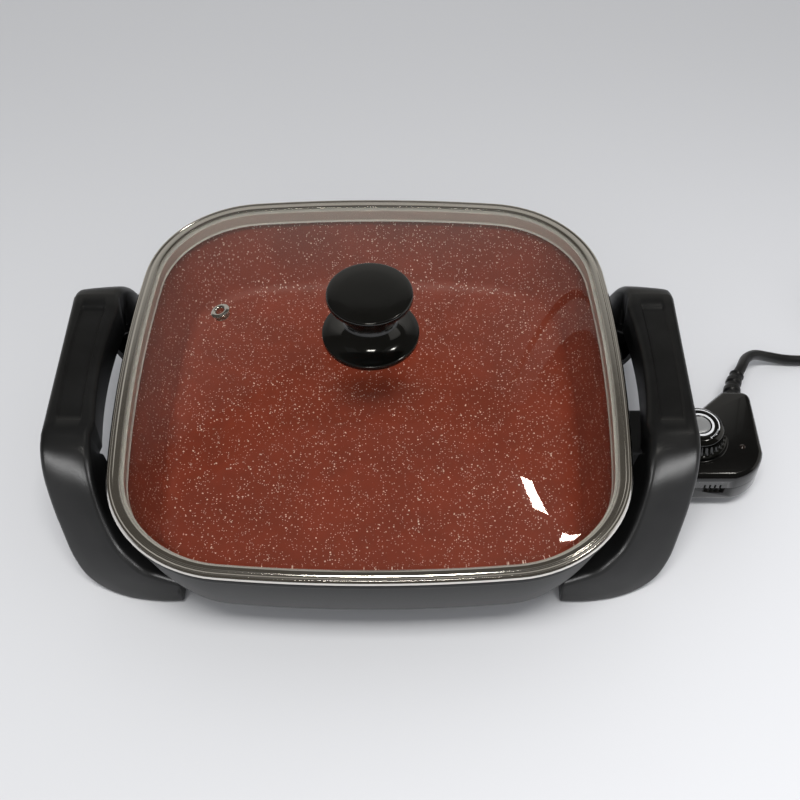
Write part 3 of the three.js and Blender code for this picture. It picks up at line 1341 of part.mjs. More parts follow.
function makeDial() {
  const group = new THREE.Group();
  group.position.set(DIAL_X, DIAL_Y, PROBE_ABOVE + DIAL_RING_HEIGHT + SEAT);
  const count = DIAL_FLUTES * 2;
  const ring = (radius, depth, z) => Array.from({ length: count }, (_, i) => {
    const angle = (2 * Math.PI * i) / count;
    const r = radius - depth * (i % 2);
    return new THREE.Vector3(r * Math.cos(angle), r * Math.sin(angle), z);
  });
  const rings = [
    ring(DIAL_BASE_RADIUS - DIAL_LIFT, 0, 0),
    ring(DIAL_BASE_RADIUS, 0, DIAL_LIFT / 2),
    ring(DIAL_BASE_RADIUS, 0, DIAL_LIFT),
    ring(DIAL_BASE_RADIUS - DIAL_LIFT, DIAL_FLUTE_DEPTH, DIAL_LIFT),
    ring(DIAL_TOP_RADIUS, DIAL_FLUTE_DEPTH, DIAL_LIFT + DIAL_SKIRT),
    ring(DIAL_TOP_RADIUS, 0, DIAL_LIFT + DIAL_SKIRT),
    ring(DIAL_TOP_RADIUS, 0, DIAL_HEIGHT - DIAL_LIFT / 2),
    ring(DIAL_TOP_RADIUS - DIAL_LIFT, 0, DIAL_HEIGHT),
  ];
  const body = loft(rings, capOf(rings[0].map((p) => new THREE.Vector2(p.x, p.y))));
  const shaftTop = SHAFT_IN_DIAL;
  const tools = [
    post(
      DIAL_CAP_RADIUS + SEAT,
      DIAL_HEIGHT - DIAL_CAP_THICK,
      DIAL_HEIGHT + OVERRUN,
      KNOB_SEGMENTS,
    ),
    post(SHAFT_RADIUS + SEAT, -OVERRUN, shaftTop + SEAT, SHAFT_SEGMENTS),
  ];
  const below = -DIAL_RING_HEIGHT - SEAT - PROBE_WALL - SEAT;
  const shaft = turned([
    [0, shaftTop],
    [SHAFT_RADIUS, shaftTop],
    [SHAFT_RADIUS, below],
    [SHAFT_COLLAR, below],
    [SHAFT_COLLAR, below - SHAFT_COLLAR_THICK],
    [SHAFT_RADIUS, below - SHAFT_COLLAR_THICK],
    [SHAFT_RADIUS, below - SHAFT_BELOW],
    [0, below - SHAFT_BELOW],
  ], HOLE_SEGMENTS);
  const capBase = DIAL_HEIGHT - DIAL_CAP_THICK + SEAT;
  const cap = post(DIAL_CAP_RADIUS, capBase, DIAL_HEIGHT + SEAT, KNOB_SEGMENTS);
  group.add(piece('dial_knob', cut(body, tools), GLOSSY_BLACK));
  group.add(piece('dial_cap', cap, SILVER_CAP));
  group.add(piece('dial_shaft', shaft, STEEL));
  return group;
}

// Strain relief, lead, coil and plug

// One ring of a round body whose middle runs along a curve
function crossRing(centre, along, radius, sides) {
  const side = new THREE.Vector3(along.y, -along.x, 0).normalize();
  const up = new THREE.Vector3().crossVectors(side, along).normalize();
  return Array.from({ length: sides }, (_, i) => {
    const angle = (2 * Math.PI * (i + 1 / 2)) / sides;
    return centre.clone()
      .addScaledVector(side, radius * Math.cos(angle))
      .addScaledVector(up, radius * Math.sin(angle));
  });
}

function roundCap(sides) {
  return capOf(asPlane(arcPoints(0, 0, 1, 0, 2 * Math.PI, sides).slice(0, -1)));
}

function reliefCurve() {
  const z = PROBE_PARTING + ELEMENT_Z;
  const x = GUARD_MOUTH_X + RELIEF_X;
  return new THREE.QuadraticBezierCurve3(
    new THREE.Vector3(x, PROBE_REAR_Y + SEAT, z),
    new THREE.Vector3(x, PROBE_REAR_Y + SEAT + RELIEF_LENGTH / 2, z),
    new THREE.Vector3(x + RELIEF_SIDE, PROBE_REAR_Y + SEAT + RELIEF_LENGTH, z),
  );
}

function makeRelief() {
  const curve = reliefCurve();
  const steps = RELIEF_RIBS * 4 + 4;
  const rings = Array.from({ length: steps + 1 }, (_, i) => {
    const share = i / steps;
    const taper = THREE.MathUtils.lerp(RELIEF_RADIUS, RELIEF_TIP_RADIUS, share);
    const rib = Math.sin(share * RELIEF_RIBS * 2 * Math.PI) > 0 ? RELIEF_RIB_HEIGHT : 0;
    const ends = i < 2 || i > steps - 2 ? 0 : rib;
    const radius = taper - RELIEF_RIB_HEIGHT + ends;
    return crossRing(curve.getPoint(share), curve.getTangent(share), radius, RELIEF_SIDES);
  });
  return piece('strain_relief', loft(rings, roundCap(RELIEF_SIDES)), RUBBER);
}

function coilPoint(turn) {
  const total = 2 * COIL_TURNS_PER_LAYER;
  const fromEnd = Math.min(turn, total - turn);
  const radius = COIL_OUTER - COIL_PITCH * fromEnd;
  const change = COIL_TURNS_PER_LAYER;
  const climb = THREE.MathUtils.smoothstep(turn, change - 1 / 4, change + 1 / 4);
  const angle = 2 * Math.PI * turn - Math.PI / 2;
  return new THREE.Vector3(
    COIL_X + radius * Math.cos(angle),
    COIL_START_Y + COIL_OUTER + radius * Math.sin(angle),
    CORD_LIFT + CORD_RADIUS + COIL_LAYER_HEIGHT * climb,
  );
}

function coilPoints() {
  const total = 2 * COIL_TURNS_PER_LAYER;
  const count = total * COIL_STEPS_PER_TURN;
  const turns = Array.from({ length: count + 1 }, (_, i) => coilPoint((total * i) / count));
  const straight = 2 * CORD_RADIUS;
  const first = turns[0].clone().sub(new THREE.Vector3(straight, 0, 0));
  const last = turns[count].clone().add(new THREE.Vector3(straight, 0, 0));
  return [first, ...turns, last];
}

// Least clear space between stretches of the coil that aren't neighbours along it
function leastGap(points) {
  const apart = Math.ceil(COIL_STEPS_PER_TURN / 4);
  let least = Infinity;
  points.forEach((p, i) => {
    for (let j = i + apart; j < points.length - 1; j += 1) {
      const line = new THREE.Line3(points[j], points[j + 1]);
      const nearest = line.closestPointToPoint(p, true, new THREE.Vector3());
      least = Math.min(least, nearest.distanceTo(p) - 2 * CORD_RADIUS);
    }
  });
  return least;
}

function makeCoil() {
  const points = coilPoints();
  console.log(`least gap between the coil's turns: ${leastGap(points).toFixed(2)} mm`);
  const rings = points.map((p, i) => {
    const before = points[Math.max(i - 1, 0)];
    const after = points[Math.min(i + 1, points.length - 1)];
    const atEnd = i < 2 || i > points.length - 3;
    const along = atEnd ? new THREE.Vector3(1, 0, 0) : after.clone().sub(before).normalize();
    return crossRing(p, along, CORD_RADIUS, COIL_SIDES);
  });
  return piece('cord_coil', loft(rings, roundCap(COIL_SIDES)), CORD_JACKET);
}

function cordTube(points, steps) {
  const curve = new THREE.CatmullRomCurve3(points, false, 'centripetal');
  const section = new THREE.Shape(asPlane(
    arcPoints(0, 0, CORD_RADIUS, Math.PI / CORD_SIDES, Math.PI / CORD_SIDES + 2 * Math.PI, CORD_SIDES),
  ).slice(0, -1));
  return new THREE.ExtrudeGeometry(section, { steps, bevelEnabled: false, extrudePath: curve });
}

// The lead's fall from the relief's tip to the table, as shares of the way out to the
// coil, of the way aside to it, and of the tip's height above the table
const leadShares = [
  { away: 0.085, aside: 0.603, height: 0.786 },
  { away: 0.154, aside: 0.851, height: 0.556 },
  { away: 0.248, aside: 0.974, height: 0.25 },
  { away: 0.359, aside: 1, height: 0.051 },
  { away: 0.487, aside: 1, height: 0 },
  { away: 0.658, aside: 1, height: 0 },
  { away: 0.829, aside: 1, height: 0.041 },
];

// The lead's free stretch, point by point from the relief's tip to the coil
function leadPoints() {
  const curve = reliefCurve();
  const start = curve.getPoint(1);
  const along = curve.getTangent(1);
  const coilStart = coilPoints()[0];
  const lowest = CORD_RADIUS + REST_LIFT;
  const fall = leadShares.map((share) => new THREE.Vector3(
    THREE.MathUtils.lerp(start.x, coilStart.x, share.away),
    THREE.MathUtils.lerp(start.y, coilStart.y, share.aside),
    THREE.MathUtils.lerp(lowest, start.z, share.height),
  ));
  return [
    start.clone().addScaledVector(along, SEAT),
    start.clone().addScaledVector(along, 2 * CORD_RADIUS),
    ...fall,
    coilStart.clone().sub(new THREE.Vector3(2 * CORD_RADIUS, 0, 0)),
    coilStart.clone().sub(new THREE.Vector3(SEAT, 0, 0)),
  ];
}

function tailPoints() {
  const start = coilPoints().pop().add(new THREE.Vector3(SEAT, 0, 0));
  return [0, 1 / 3, 2 / 3, 1].map((share) =>
    start.clone().add(new THREE.Vector3(TAIL_LENGTH * share, 0, 0)));
}

function makeTie() {
  const turns = [1 / 2, COIL_TURNS_PER_LAYER - 1 / 2].map(coilPoint);
  const centreY = COIL_START_Y + COIL_OUTER;
  const radii = turns.map((p) => Math.hypot(p.x - COIL_X, p.y - centreY));
  const room = CORD_RADIUS + TIE_CLEAR;
  const near = Math.min(...radii) - room;
  const far = Math.max(...radii) + room;
  const low = CORD_LIFT - TIE_CLEAR;
  const high = CORD_LIFT + 2 * CORD_RADIUS + COIL_LAYER_HEIGHT + TIE_CLEAR;
  const corner = CORD_RADIUS / 2;
  const shape = roundedRectangle(
    near - TIE_THICK,
    far + TIE_THICK,
    low - TIE_THICK,
    high + TIE_THICK,
    corner + TIE_THICK,
  );
  shape.holes.push(roundedRectangle(near, far, low, high, corner));
  const basis = new THREE.Matrix4().makeBasis(
    new THREE.Vector3(0, 1, 0),
    new THREE.Vector3(0, 0, 1),
    new THREE.Vector3(1, 0, 0),
  );
  const strap = plate(shape, -TIE_WIDTH / 2, TIE_WIDTH / 2, 3).applyMatrix4(basis);
  return piece('cord_tie', strap.translate(COIL_X, centreY, 0), RUBBER);
}

// Sections of the plug as shares of its length, half width and half height
const plugShares = [
  { along: 0, wide: 0.36, high: 0.38 },
  { along: 0.28, wide: 0.42, high: 0.44 },
  { along: 0.34, wide: 0.62, high: 0.62 },
  { along: 0.5, wide: 0.86, high: 0.84 },
  { along: 0.62, wide: 1, high: 1 },
  { along: 0.94, wide: 1, high: 1 },
  { along: 1, wide: 0.93, high: 0.93 },
];

function makePlug() {
  const start = tailPoints().pop().add(new THREE.Vector3(SEAT, 0, 0));
  const halfHeight = start.z;
  const rings = plugShares.map((share) => Array.from({ length: PLUG_SIDES }, (_, i) => {
    const angle = (2 * Math.PI * i) / PLUG_SIDES;
    const squared = (value) => Math.sign(value) * Math.abs(value) ** PLUG_SQUARENESS;
    return new THREE.Vector3(
      start.x + PLUG_LENGTH * share.along,
      start.y + PLUG_HALF_WIDTH * share.wide * squared(Math.cos(angle)),
      start.z + halfHeight * share.high * squared(Math.sin(angle)),
    );
  }));
  const body = loft(rings, roundCap(PLUG_SIDES));
  const faceX = start.x + PLUG_LENGTH;
  const meshes = [];
  const sockets = [];
  for (const [i, name] of [[-1, 'live'], [0, 'earth'], [1, 'neutral']]) {
    const y = start.y + i * PLUG_PIN_SPREAD;
    const z = start.z + (i === 0 ? PLUG_PIN_OFFSET : 0);
    const tip = PLUG_PIN_LENGTH - PLUG_PIN_RADIUS;
    const pin = turned([
      [0, -PLUG_PIN_SOCKET],
      [PLUG_PIN_RADIUS, -PLUG_PIN_SOCKET],
      [PLUG_PIN_RADIUS, tip],
      [PLUG_PIN_RADIUS / 2, PLUG_PIN_LENGTH],
      [0, PLUG_PIN_LENGTH],
    ], HOLE_SEGMENTS);
    meshes.push(piece(`plug_pin_${name}`, alongX(pin).translate(faceX, y, z), BRASS));
    sockets.push(alongX(post(PLUG_PIN_RADIUS + SEAT, -PLUG_PIN_SOCKET - SEAT, OVERRUN, HOLE_SEGMENTS))
      .translate(faceX, y, z));
  }
  meshes.unshift(piece('plug_body', cut(body, sockets), RUBBER));
  return meshes;
}

// Assembly
const skillet = new THREE.Group();
skillet.position.x = -(PROBE_OUTER_X - HANDLE_OUTER_X) / 2;

const panGroup = new THREE.Group();
panGroup.add(makePan(), ...makeTerminals(), ...makeGuard(), makeHandles());

const probeGroup = new THREE.Group();
probeGroup.position.set(GUARD_MOUTH_X, 0, ELEMENT_Z);
probeGroup.add(...makeProbeCase(), ...makeProbeWorks(), makeDial());

const leadGroup = new THREE.Group();
leadGroup.add(
  makeRelief(),
  piece('cord_lead', cordTube(leadPoints(), LEAD_STEPS), CORD_JACKET),
  makeCoil(),
  piece('cord_tail', cordTube(tailPoints(), 3), CORD_JACKET),
  makeTie(),
  ...makePlug(),
);

skillet.add(panGroup, makeLid(), probeGroup, leadGroup);

export default skillet;
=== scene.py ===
"""An electric skillet with its glass lid and plug-in heat control, dressed for the photograph.

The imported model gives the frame. Each sub-assembly is a class that holds its sizes in
millimetres of the pan's own frame, with the pan's middle at x = 0 and the table at z = 0.
Finished meshes are moved to metres of the row frame.
"""

from __future__ import annotations

import json
import logging
import math
from collections.abc import Iterable, Sequence
from dataclasses import dataclass, field
from enum import Enum

import bmesh
import bpy
from mathutils import Matrix, Vector

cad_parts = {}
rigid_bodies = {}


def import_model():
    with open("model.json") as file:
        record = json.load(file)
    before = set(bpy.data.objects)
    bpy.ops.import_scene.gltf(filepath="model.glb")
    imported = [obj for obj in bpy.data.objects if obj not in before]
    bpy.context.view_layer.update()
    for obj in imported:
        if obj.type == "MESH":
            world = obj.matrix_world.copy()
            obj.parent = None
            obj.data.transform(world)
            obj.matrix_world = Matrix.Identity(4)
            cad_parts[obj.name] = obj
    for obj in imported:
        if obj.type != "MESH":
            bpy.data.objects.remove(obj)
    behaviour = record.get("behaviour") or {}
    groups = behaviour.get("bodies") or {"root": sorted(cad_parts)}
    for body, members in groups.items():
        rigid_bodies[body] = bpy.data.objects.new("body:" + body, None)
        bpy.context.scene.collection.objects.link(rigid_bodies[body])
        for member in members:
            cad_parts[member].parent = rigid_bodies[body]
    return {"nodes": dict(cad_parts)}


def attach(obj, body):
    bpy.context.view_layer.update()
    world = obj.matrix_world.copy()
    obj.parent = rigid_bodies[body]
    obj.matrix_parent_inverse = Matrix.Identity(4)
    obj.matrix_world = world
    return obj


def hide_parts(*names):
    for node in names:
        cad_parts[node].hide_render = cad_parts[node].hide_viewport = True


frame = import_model()

log = logging.getLogger("skillet")

MM = 0.001
PAN_MIDDLE_X = -27.25
# Corners closer than this, in millimetres, are one
WELD = 0.0005
TO_ROW = Matrix.Scale(MM, 4) @ Matrix.Translation((PAN_MIDDLE_X, 0.0, 0.0))
SEAT = 0.3
TERMINAL_Z = 25.9
GUARD_MOUTH_X = 172.0
LID_SEAT_Z = 90.7

Colour = tuple[float, float, float]
Point2 = tuple[float, float]
Point3 = tuple[float, float, float]
Edges = list[bmesh.types.BMEdge]
Rings = Sequence[Sequence[Sequence[float]]]


class Body(Enum):
    """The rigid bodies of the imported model."""

    PAN = "pan"
    LID = "lid"
    PROBE = "probe"
    DIAL = "dial"


class Side(Enum):
    """The two handle pieces, with the turn about Z that makes each from the right one."""

    RIGHT = 0.0
    LEFT = math.pi


# Curves and outlines


def arc(centre: Point2, radius: float, start: float, end: float, steps: int) -> list[Point2]:
    """Points of a circular arc.

    Args:
        centre: Middle of the circle.
        radius: Radius of the circle.
        start: First angle, in degrees.
        end: Last angle, in degrees.
        steps: Number of chords.

    Returns:
        The points, both ends included.
    """
    angles = [math.radians(start + (end - start) * i / steps) for i in range(steps + 1)]
    return [(centre[0] + radius * math.cos(a), centre[1] + radius * math.sin(a)) for a in angles]


def bow(start: Point2, bend: Point2, end: Point2, steps: int) -> list[Point2]:
    """Points of a quadratic curve.

    Args:
        start: First point.
        bend: The point that pulls the curve.
        end: Last point.
        steps: Number of chords.

    Returns:
        The points, both ends included.
    """
    made = []
    for i in range(steps + 1):
        t = i / steps
        weights = ((1 - t) ** 2, 2 * t * (1 - t), t * t)
        made.append(tuple(
            sum(w * p[axis] for w, p in zip(weights, (start, bend, end))) for axis in (0, 1)
        ))
    return made


def eased(
    points: Sequence[Point2], radius: float, steps: int = 3, closed: bool = False,
) -> list[Point2]:
    """Rounds the corners of a profile.

    Args:
        points: Corners of the profile.
        radius: How far before and after a corner its rounding starts, at most.
        steps: Number of chords in each rounding.
        closed: Whether the last point joins the first.

    Returns:
        The rounded profile.
    """
    corners = [Vector(p) for p in points]
    count = len(corners)
    made: list[Point2] = []
    for i, corner in enumerate(corners):
        if not closed and i in (0, count - 1):
            made.append(tuple(corner))
            continue
        before = corners[i - 1] - corner
        after = corners[(i + 1) % count] - corner
        room = min(radius, before.length * 0.45, after.length * 0.45)
        start = corner + before.normalized() * room
        end = corner + after.normalized() * room
        made.extend(bow(tuple(start), tuple(corner), tuple(end), steps))
    return made


def smoothstep(value: float, low: float, high: float) -> float:
    """Rises smoothly from 0 at low to 1 at high."""
    share = min(max((value - low) / (high - low), 0.0), 1.0)
    return share * share * (3 - 2 * share)


class Route:
    """A smooth curve through given points, centripetal, as a bent strip or lead lies."""

    def __init__(self, points: Iterable[Sequence[float]]) -> None:
        """Keeps the points that the curve passes through."""
        self.points = [Vector(p) for p in points]

    def at(self, share: float) -> Vector:
        """The place on the curve at a share of its spans, from 0 to 1."""
        last = len(self.points) - 1
        span = min(int(share * last), last - 1)
        t = share * last - span
        p1, p2 = self.points[span], self.points[span + 1]
        p0 = self.points[span - 1] if span > 0 else p1 + (p1 - p2)
        p3 = self.points[span + 2] if span + 2 <= last else p2 + (p2 - p1)
        d0, d1, d2 = (math.sqrt((b - a).length) or 1.0 for a, b in ((p0, p1), (p1, p2), (p2, p3)))
        lead_in = ((p1 - p0) / d0 - (p2 - p0) / (d0 + d1) + (p2 - p1) / d1) * d1
        lead_out = ((p2 - p1) / d1 - (p3 - p1) / (d1 + d2) + (p3 - p2) / d2) * d1
        square = -3 * p1 + 3 * p2 - 2 * lead_in - lead_out
        cube = 2 * p1 - 2 * p2 + lead_in + lead_out
        return p1 + lead_in * t + square * t * t + cube * t * t * t

    def spread(self, steps: int) -> list[Vector]:
        """Points at equal shares along the curve."""
        return [self.at(i / steps) for i in range(steps + 1)]


@dataclass(frozen=True)
class PlanShape:
    """The bowed square that the pan and the lid share."""

    half: float = 149.58
    corner: float = 74.0
    bow_angle: float = math.radians(5.3)
    side_steps: int = 12
    corner_steps: int = 18

    def ring(self, inset: float, z: float, share: float = 1.0) -> list[Vector]:
        """One closed ring of the plan.

        Args:
            inset: How far inside the lid's outer edge it runs.
            z: Its height.
            share: Scale of the ring about the middle.

        Returns:
            Its points, anticlockwise from above.
        """
        spread = self.half - self.corner
        reach = spread / (1 + math.sin(self.bow_angle) - math.cos(self.bow_angle))
        middle = reach * math.sin(self.bow_angle)
        bowed = math.degrees(self.bow_angle)
        side = arc(
            (spread - reach, 0.0), reach + self.corner - inset, -bowed, bowed, self.side_steps,
        )[:-1]
        corner = arc(
            (middle, middle), self.corner - inset, bowed, 90 - bowed, self.corner_steps,
        )[:-1]
        points = []
        for quarter in range(4):
            turn = Matrix.Rotation(quarter * math.pi / 2, 2)
            points.extend(turn @ Vector(p) * share for p in side + corner)
        return [Vector((p.x, p.y, z)) for p in points]

    def share_at(self, x: float, y: float, inset: float) -> float:
        """How far out a place lies, from 0 in the middle to 1 on the ring at that inset."""
        ring = self.ring(inset, 0.0)
        best = 0.0
        for p, q in zip(ring, ring[1:] + ring[:1]):
            nx, ny = q.y - p.y, p.x - q.x
            best = max(best, (nx * x + ny * y) / (nx * p.x + ny * p.y))
        return best


PLAN = PlanShape()


# Shader building


class Wire:
    """A socket of a node tree that takes part in arithmetic."""

    def __init__(self, paint: "Paint", socket: bpy.types.NodeSocket) -> None:
        """Keeps the tree and the socket."""
        self.paint = paint
        self.socket = socket

    def _maths(self, operation: str, *values: "Wire | float") -> "Wire":
        """Adds a Math node on the values."""
        return self.paint.node("ShaderNodeMath", {"operation": operation}, dict(enumerate(values)))

    def __add__(self, other: "Wire | float") -> "Wire":
        """Sum."""
        return self._maths("ADD", self, other)

    def __radd__(self, other: float) -> "Wire":
        """Sum, reflected."""
        return self._maths("ADD", other, self)

    def __sub__(self, other: "Wire | float") -> "Wire":
        """Difference."""
        return self._maths("SUBTRACT", self, other)

    def __rsub__(self, other: float) -> "Wire":
        """Difference, reflected."""
        return self._maths("SUBTRACT", other, self)

    def __mul__(self, other: "Wire | float") -> "Wire":
        """Product."""
        return self._maths("MULTIPLY", self, other)

    def __rmul__(self, other: float) -> "Wire":
        """Product, reflected."""
        return self._maths("MULTIPLY", other, self)

    def __lt__(self, other: "Wire | float") -> "Wire":
        """1 where this is less."""
        return self._maths("LESS_THAN", self, other)

    def rise(self, low: float, high: float) -> "Wire":
        """Goes smoothly from 0 at low to 1 at high."""
        return self.paint.node(
            "ShaderNodeMapRange",
            {"interpolation_type": "SMOOTHSTEP"},
            {"Value": self, "From Min": low, "From Max": high},
        )


class Paint:
    """Builds one material from nodes."""

    def __init__(self, name: str) -> None:
        """Starts an empty material of that name."""
        self.material = bpy.data.materials.new(name)
        self.material.use_nodes = True
        self.tree = self.material.node_tree
        self.tree.nodes.clear()

    def node(
        self,
        kind: str,
        settings: dict[str, object] | None = None,
        inputs: dict[str | int, object] | None = None,
        output: str | int = 0,
    ) -> Wire:
        """Adds a node.

        Args:
            kind: The node's type.
            settings: Its own settings, set before its sockets.
            inputs: Values or wires by socket name or number.
            output: The socket to hand back.

        Returns:
            A wire from that output.
        """
        node = self.tree.nodes.new(kind)
        for key, value in (settings or {}).items():
            setattr(node, key, value)
        for key, value in (inputs or {}).items():
            socket = node.inputs[key]
            if isinstance(value, Wire):
                self.tree.links.new(value.socket, socket)
            else:
                socket.default_value = value
        return Wire(self, node.outputs[output])

    def place(self) -> Wire:
        """The piece's own coordinates, in metres of the row frame."""
        return self.node("ShaderNodeTexCoord", output="Object")

    def split(self, vector: Wire) -> tuple[Wire, Wire, Wire]:
        """The three parts of a vector."""
        node = self.node("ShaderNodeSeparateXYZ", None, {0: vector}).socket.node
        return tuple(Wire(self, node.outputs[i]) for i in range(3))

    def stretch(self, vector: Wire, scale: Sequence[float]) -> Wire:
        """A vector scaled axis by axis."""
        inputs = {0: vector, 1: tuple(scale)}
        return self.node("ShaderNodeVectorMath", {"operation": "MULTIPLY"}, inputs)

    def noise(self, at: Wire, per_metre: float, detail: float = 2.0, rough: float = 0.5) -> Wire:
        """Soft noise from 0 to 1.

        Args:
            at: Where it is read.
            per_metre: Lumps in a metre.
            detail: Octaves of finer lumps.
            rough: Strength of the finer lumps.

        Returns:
            The noise's value.
        """
        return self.node("ShaderNodeTexNoise", None, {
            "Vector": at, "Scale": per_metre, "Detail": detail, "Roughness": rough,
        })

    def cells(self, at: Wire, per_metre: float) -> tuple[Wire, Wire]:
        """Scattered cells.

        Args:
            at: Where they are read.
            per_metre: Cells in a metre.

        Returns:
            The distance from the cell's middle, in cells, and a number of the cell's own.
        """
        node = self.node("ShaderNodeTexVoronoi", {"feature": "F1"}, {
            "Vector": at, "Scale": per_metre, "Randomness": 1.0,
        }).socket.node
        own = self.split(Wire(self, node.outputs["Color"]))[0]
        return Wire(self, node.outputs["Distance"]), own

    def blend(self, share: Wire | float, under: Wire | Colour, over: Wire | Colour) -> Wire:
        """Mixes two colours, all of the second at a share of 1."""
        def full(colour: Wire | Colour) -> object:
            return colour if isinstance(colour, Wire) else (*colour, 1.0)
        node = self.tree.nodes.new("ShaderNodeMix")
        node.data_type = "RGBA"
        sockets = [s for s in node.inputs if s.type == "RGBA"]
        for socket, value in zip((node.inputs[0], *sockets), (share, full(under), full(over))):
            if isinstance(value, Wire):
                self.tree.links.new(value.socket, socket)
            else:
                socket.default_value = value
        return Wire(self, next(s for s in node.outputs if s.type == "RGBA"))

    def relief(self, height: Wire, depth: float, strength: float = 1.0) -> Wire:
        """A normal that a height of 0 to 1 tilts, at a depth in metres."""
        return self.node("ShaderNodeBump", None, {
            "Height": height, "Distance": depth, "Strength": strength,
        })

    def finish(self, surface: Wire) -> bpy.types.Material:
        """Sends a shader to the output and hands back the material."""
        output = self.tree.nodes.new("ShaderNodeOutputMaterial")
        self.tree.links.new(surface.socket, output.inputs["Surface"])
        return self.material

    def shell(self, **sockets: object) -> Wire:
        """A Principled shader, its sockets named with _ for spaces."""
        named = {key.replace("_", " "): value for key, value in sockets.items()}
        for key in ("Base Color", "Emission Color"):
            value = named.get(key)
            if isinstance(value, tuple) and len(value) == 3:
                named[key] = (*value, 1.0)
        return self.node("ShaderNodeBsdfPrincipled", None, named)


# Finishes


@dataclass(frozen=True)
class StoneCoating:
    """Red-brown non-stick coating with cream specks, inside the pan."""

    name: str = "speckled_coating"
    ground: Colour = (0.265, 0.0368, 0.0140)
    shade: Colour = (0.214, 0.0290, 0.0108)
    speck: Colour = (1.0, 0.80, 0.68)
    roughness: float = 0.38
    clouds_per_metre: float = 26.0
    drifts_per_metre: float = 60.0
    grains_per_metre: float = 900.0
    grain_depth: float = 0.00006
    # Share of a speck's reach at which its soft edge starts
    solid_share: float = 0.8
    # The faintest speck's strength, and how much the strongest has more
    faintest: float = 0.5
    spread: float = 0.8
    # Cells in a metre, a speck's reach in cells, and the share of cells that have one
    sieves = ((330.0, 0.19, 0.34), (520.0, 0.21, 0.42), (760.0, 0.24, 0.4))

    def make(self) -> bpy.types.Material:
        """Builds the material."""
        paint = Paint(self.name)
        at = paint.place()
        cloud = paint.noise(at, self.clouds_per_metre, 3.0, 0.6)
        specks: Wire | float = 0.0
        for per_metre, reach, kept in self.sieves:
            far, own = paint.cells(at, per_metre)
            dot = 1.0 - far.rise(reach * self.solid_share, reach)
            strength = self.faintest + own * (self.spread / kept)
            specks = dot * (own < kept) * strength + specks
        drift = paint.noise(at, self.drifts_per_metre, 2.0, 0.5).rise(0.25, 0.6)
        mask = specks * (0.5 + 0.5 * drift)
        ground = paint.blend(cloud.rise(0.3, 0.7), self.shade, self.ground)
        colour = paint.blend(mask.rise(0.0, 1.0), ground, self.speck)
        grain = paint.noise(at, self.grains_per_metre, 2.0, 0.6)
        return paint.finish(paint.shell(
            Base_Color=colour,
            Roughness=self.roughness + 0.10 * grain,
            Normal=paint.relief(grain, self.grain_depth, 0.5),
        ))


@dataclass(frozen=True)
class CastCoating:
    """Plain coating or paint on the outside of the casting."""

    name: str = "outer_coating"
    colour: Colour = (0.014, 0.014, 0.014)
    roughness: float = 0.42
    metallic: float = 0.05
    shine: float = 0.34
    dark_share: float = 0.86
    clouds_per_metre: float = 18.0
    grains_per_metre: float = 1500.0
    grain_depth: float = 0.00005

    def make(self) -> bpy.types.Material:
        """Builds the material."""
        paint = Paint(self.name)
        at = paint.place()
        grain = paint.noise(at, self.grains_per_metre, 2.0, 0.6)
        cloud = paint.noise(at, self.clouds_per_metre, 3.0, 0.5)
        dark = tuple(c * self.dark_share for c in self.colour)
        return paint.finish(paint.shell(
            Base_Color=paint.blend(cloud, dark, self.colour),
            Roughness=self.roughness + 0.08 * grain,
            Metallic=self.metallic,
            Specular_IOR_Level=self.shine,
            Normal=paint.relief(grain, self.grain_depth, 0.6),
        ))


@dataclass(frozen=True)
class Moulding:
    """Moulded plastic or rubber, from a matt grain to a polished face."""

    name: str
    colour: Colour
    roughness: float
    grain_per_metre: float = 1400.0
    grain_depth: float = 0.00005
    coat: float = 0.0
    shine: float = 0.5

    def make(self) -> bpy.types.Material:
        """Builds the material."""
        paint = Paint(self.name)
        at = paint.place()
        grain = paint.noise(at, self.grain_per_metre, 2.0, 0.65)
        wear = paint.noise(at, 22.0, 4.0, 0.6)
        worn = tuple(min(1.0, c * 1.35 + 0.002) for c in self.colour)
        return paint.finish(paint.shell(
            Base_Color=paint.blend(wear.rise(0.35, 0.75), self.colour, worn),
            Roughness=self.roughness + 0.10 * (wear - 0.5) + 0.04 * grain,
            Coat_Weight=self.coat,
            Coat_Roughness=0.05,
            Specular_IOR_Level=self.shine,
            Normal=paint.relief(grain, self.grain_depth, 0.5),
        ))


@dataclass(frozen=True)
class Metal:
    """Polished or drawn metal with faint draw lines."""

    name: str
    colour: Colour
    roughness: float
    lines: tuple[float, float, float] = (220.0, 220.0, 1400.0)
    line_depth: float = 0.00001
    metallic: float = 1.0

    def make(self) -> bpy.types.Material:
        """Builds the material."""
        paint = Paint(self.name)
        at = paint.place()
        drawn = paint.noise(paint.stretch(at, self.lines), 1.0, 3.0, 0.6)
        smudge = paint.noise(at, 30.0, 3.0, 0.55)
        dull = tuple(c * 0.9 for c in self.colour)
        return paint.finish(paint.shell(
            Base_Color=paint.blend(smudge, dull, self.colour),
            Metallic=self.metallic,
            Roughness=self.roughness + 0.08 * drawn + 0.06 * (smudge - 0.5),
            Normal=paint.relief(drawn, self.line_depth, 0.4),
        ))


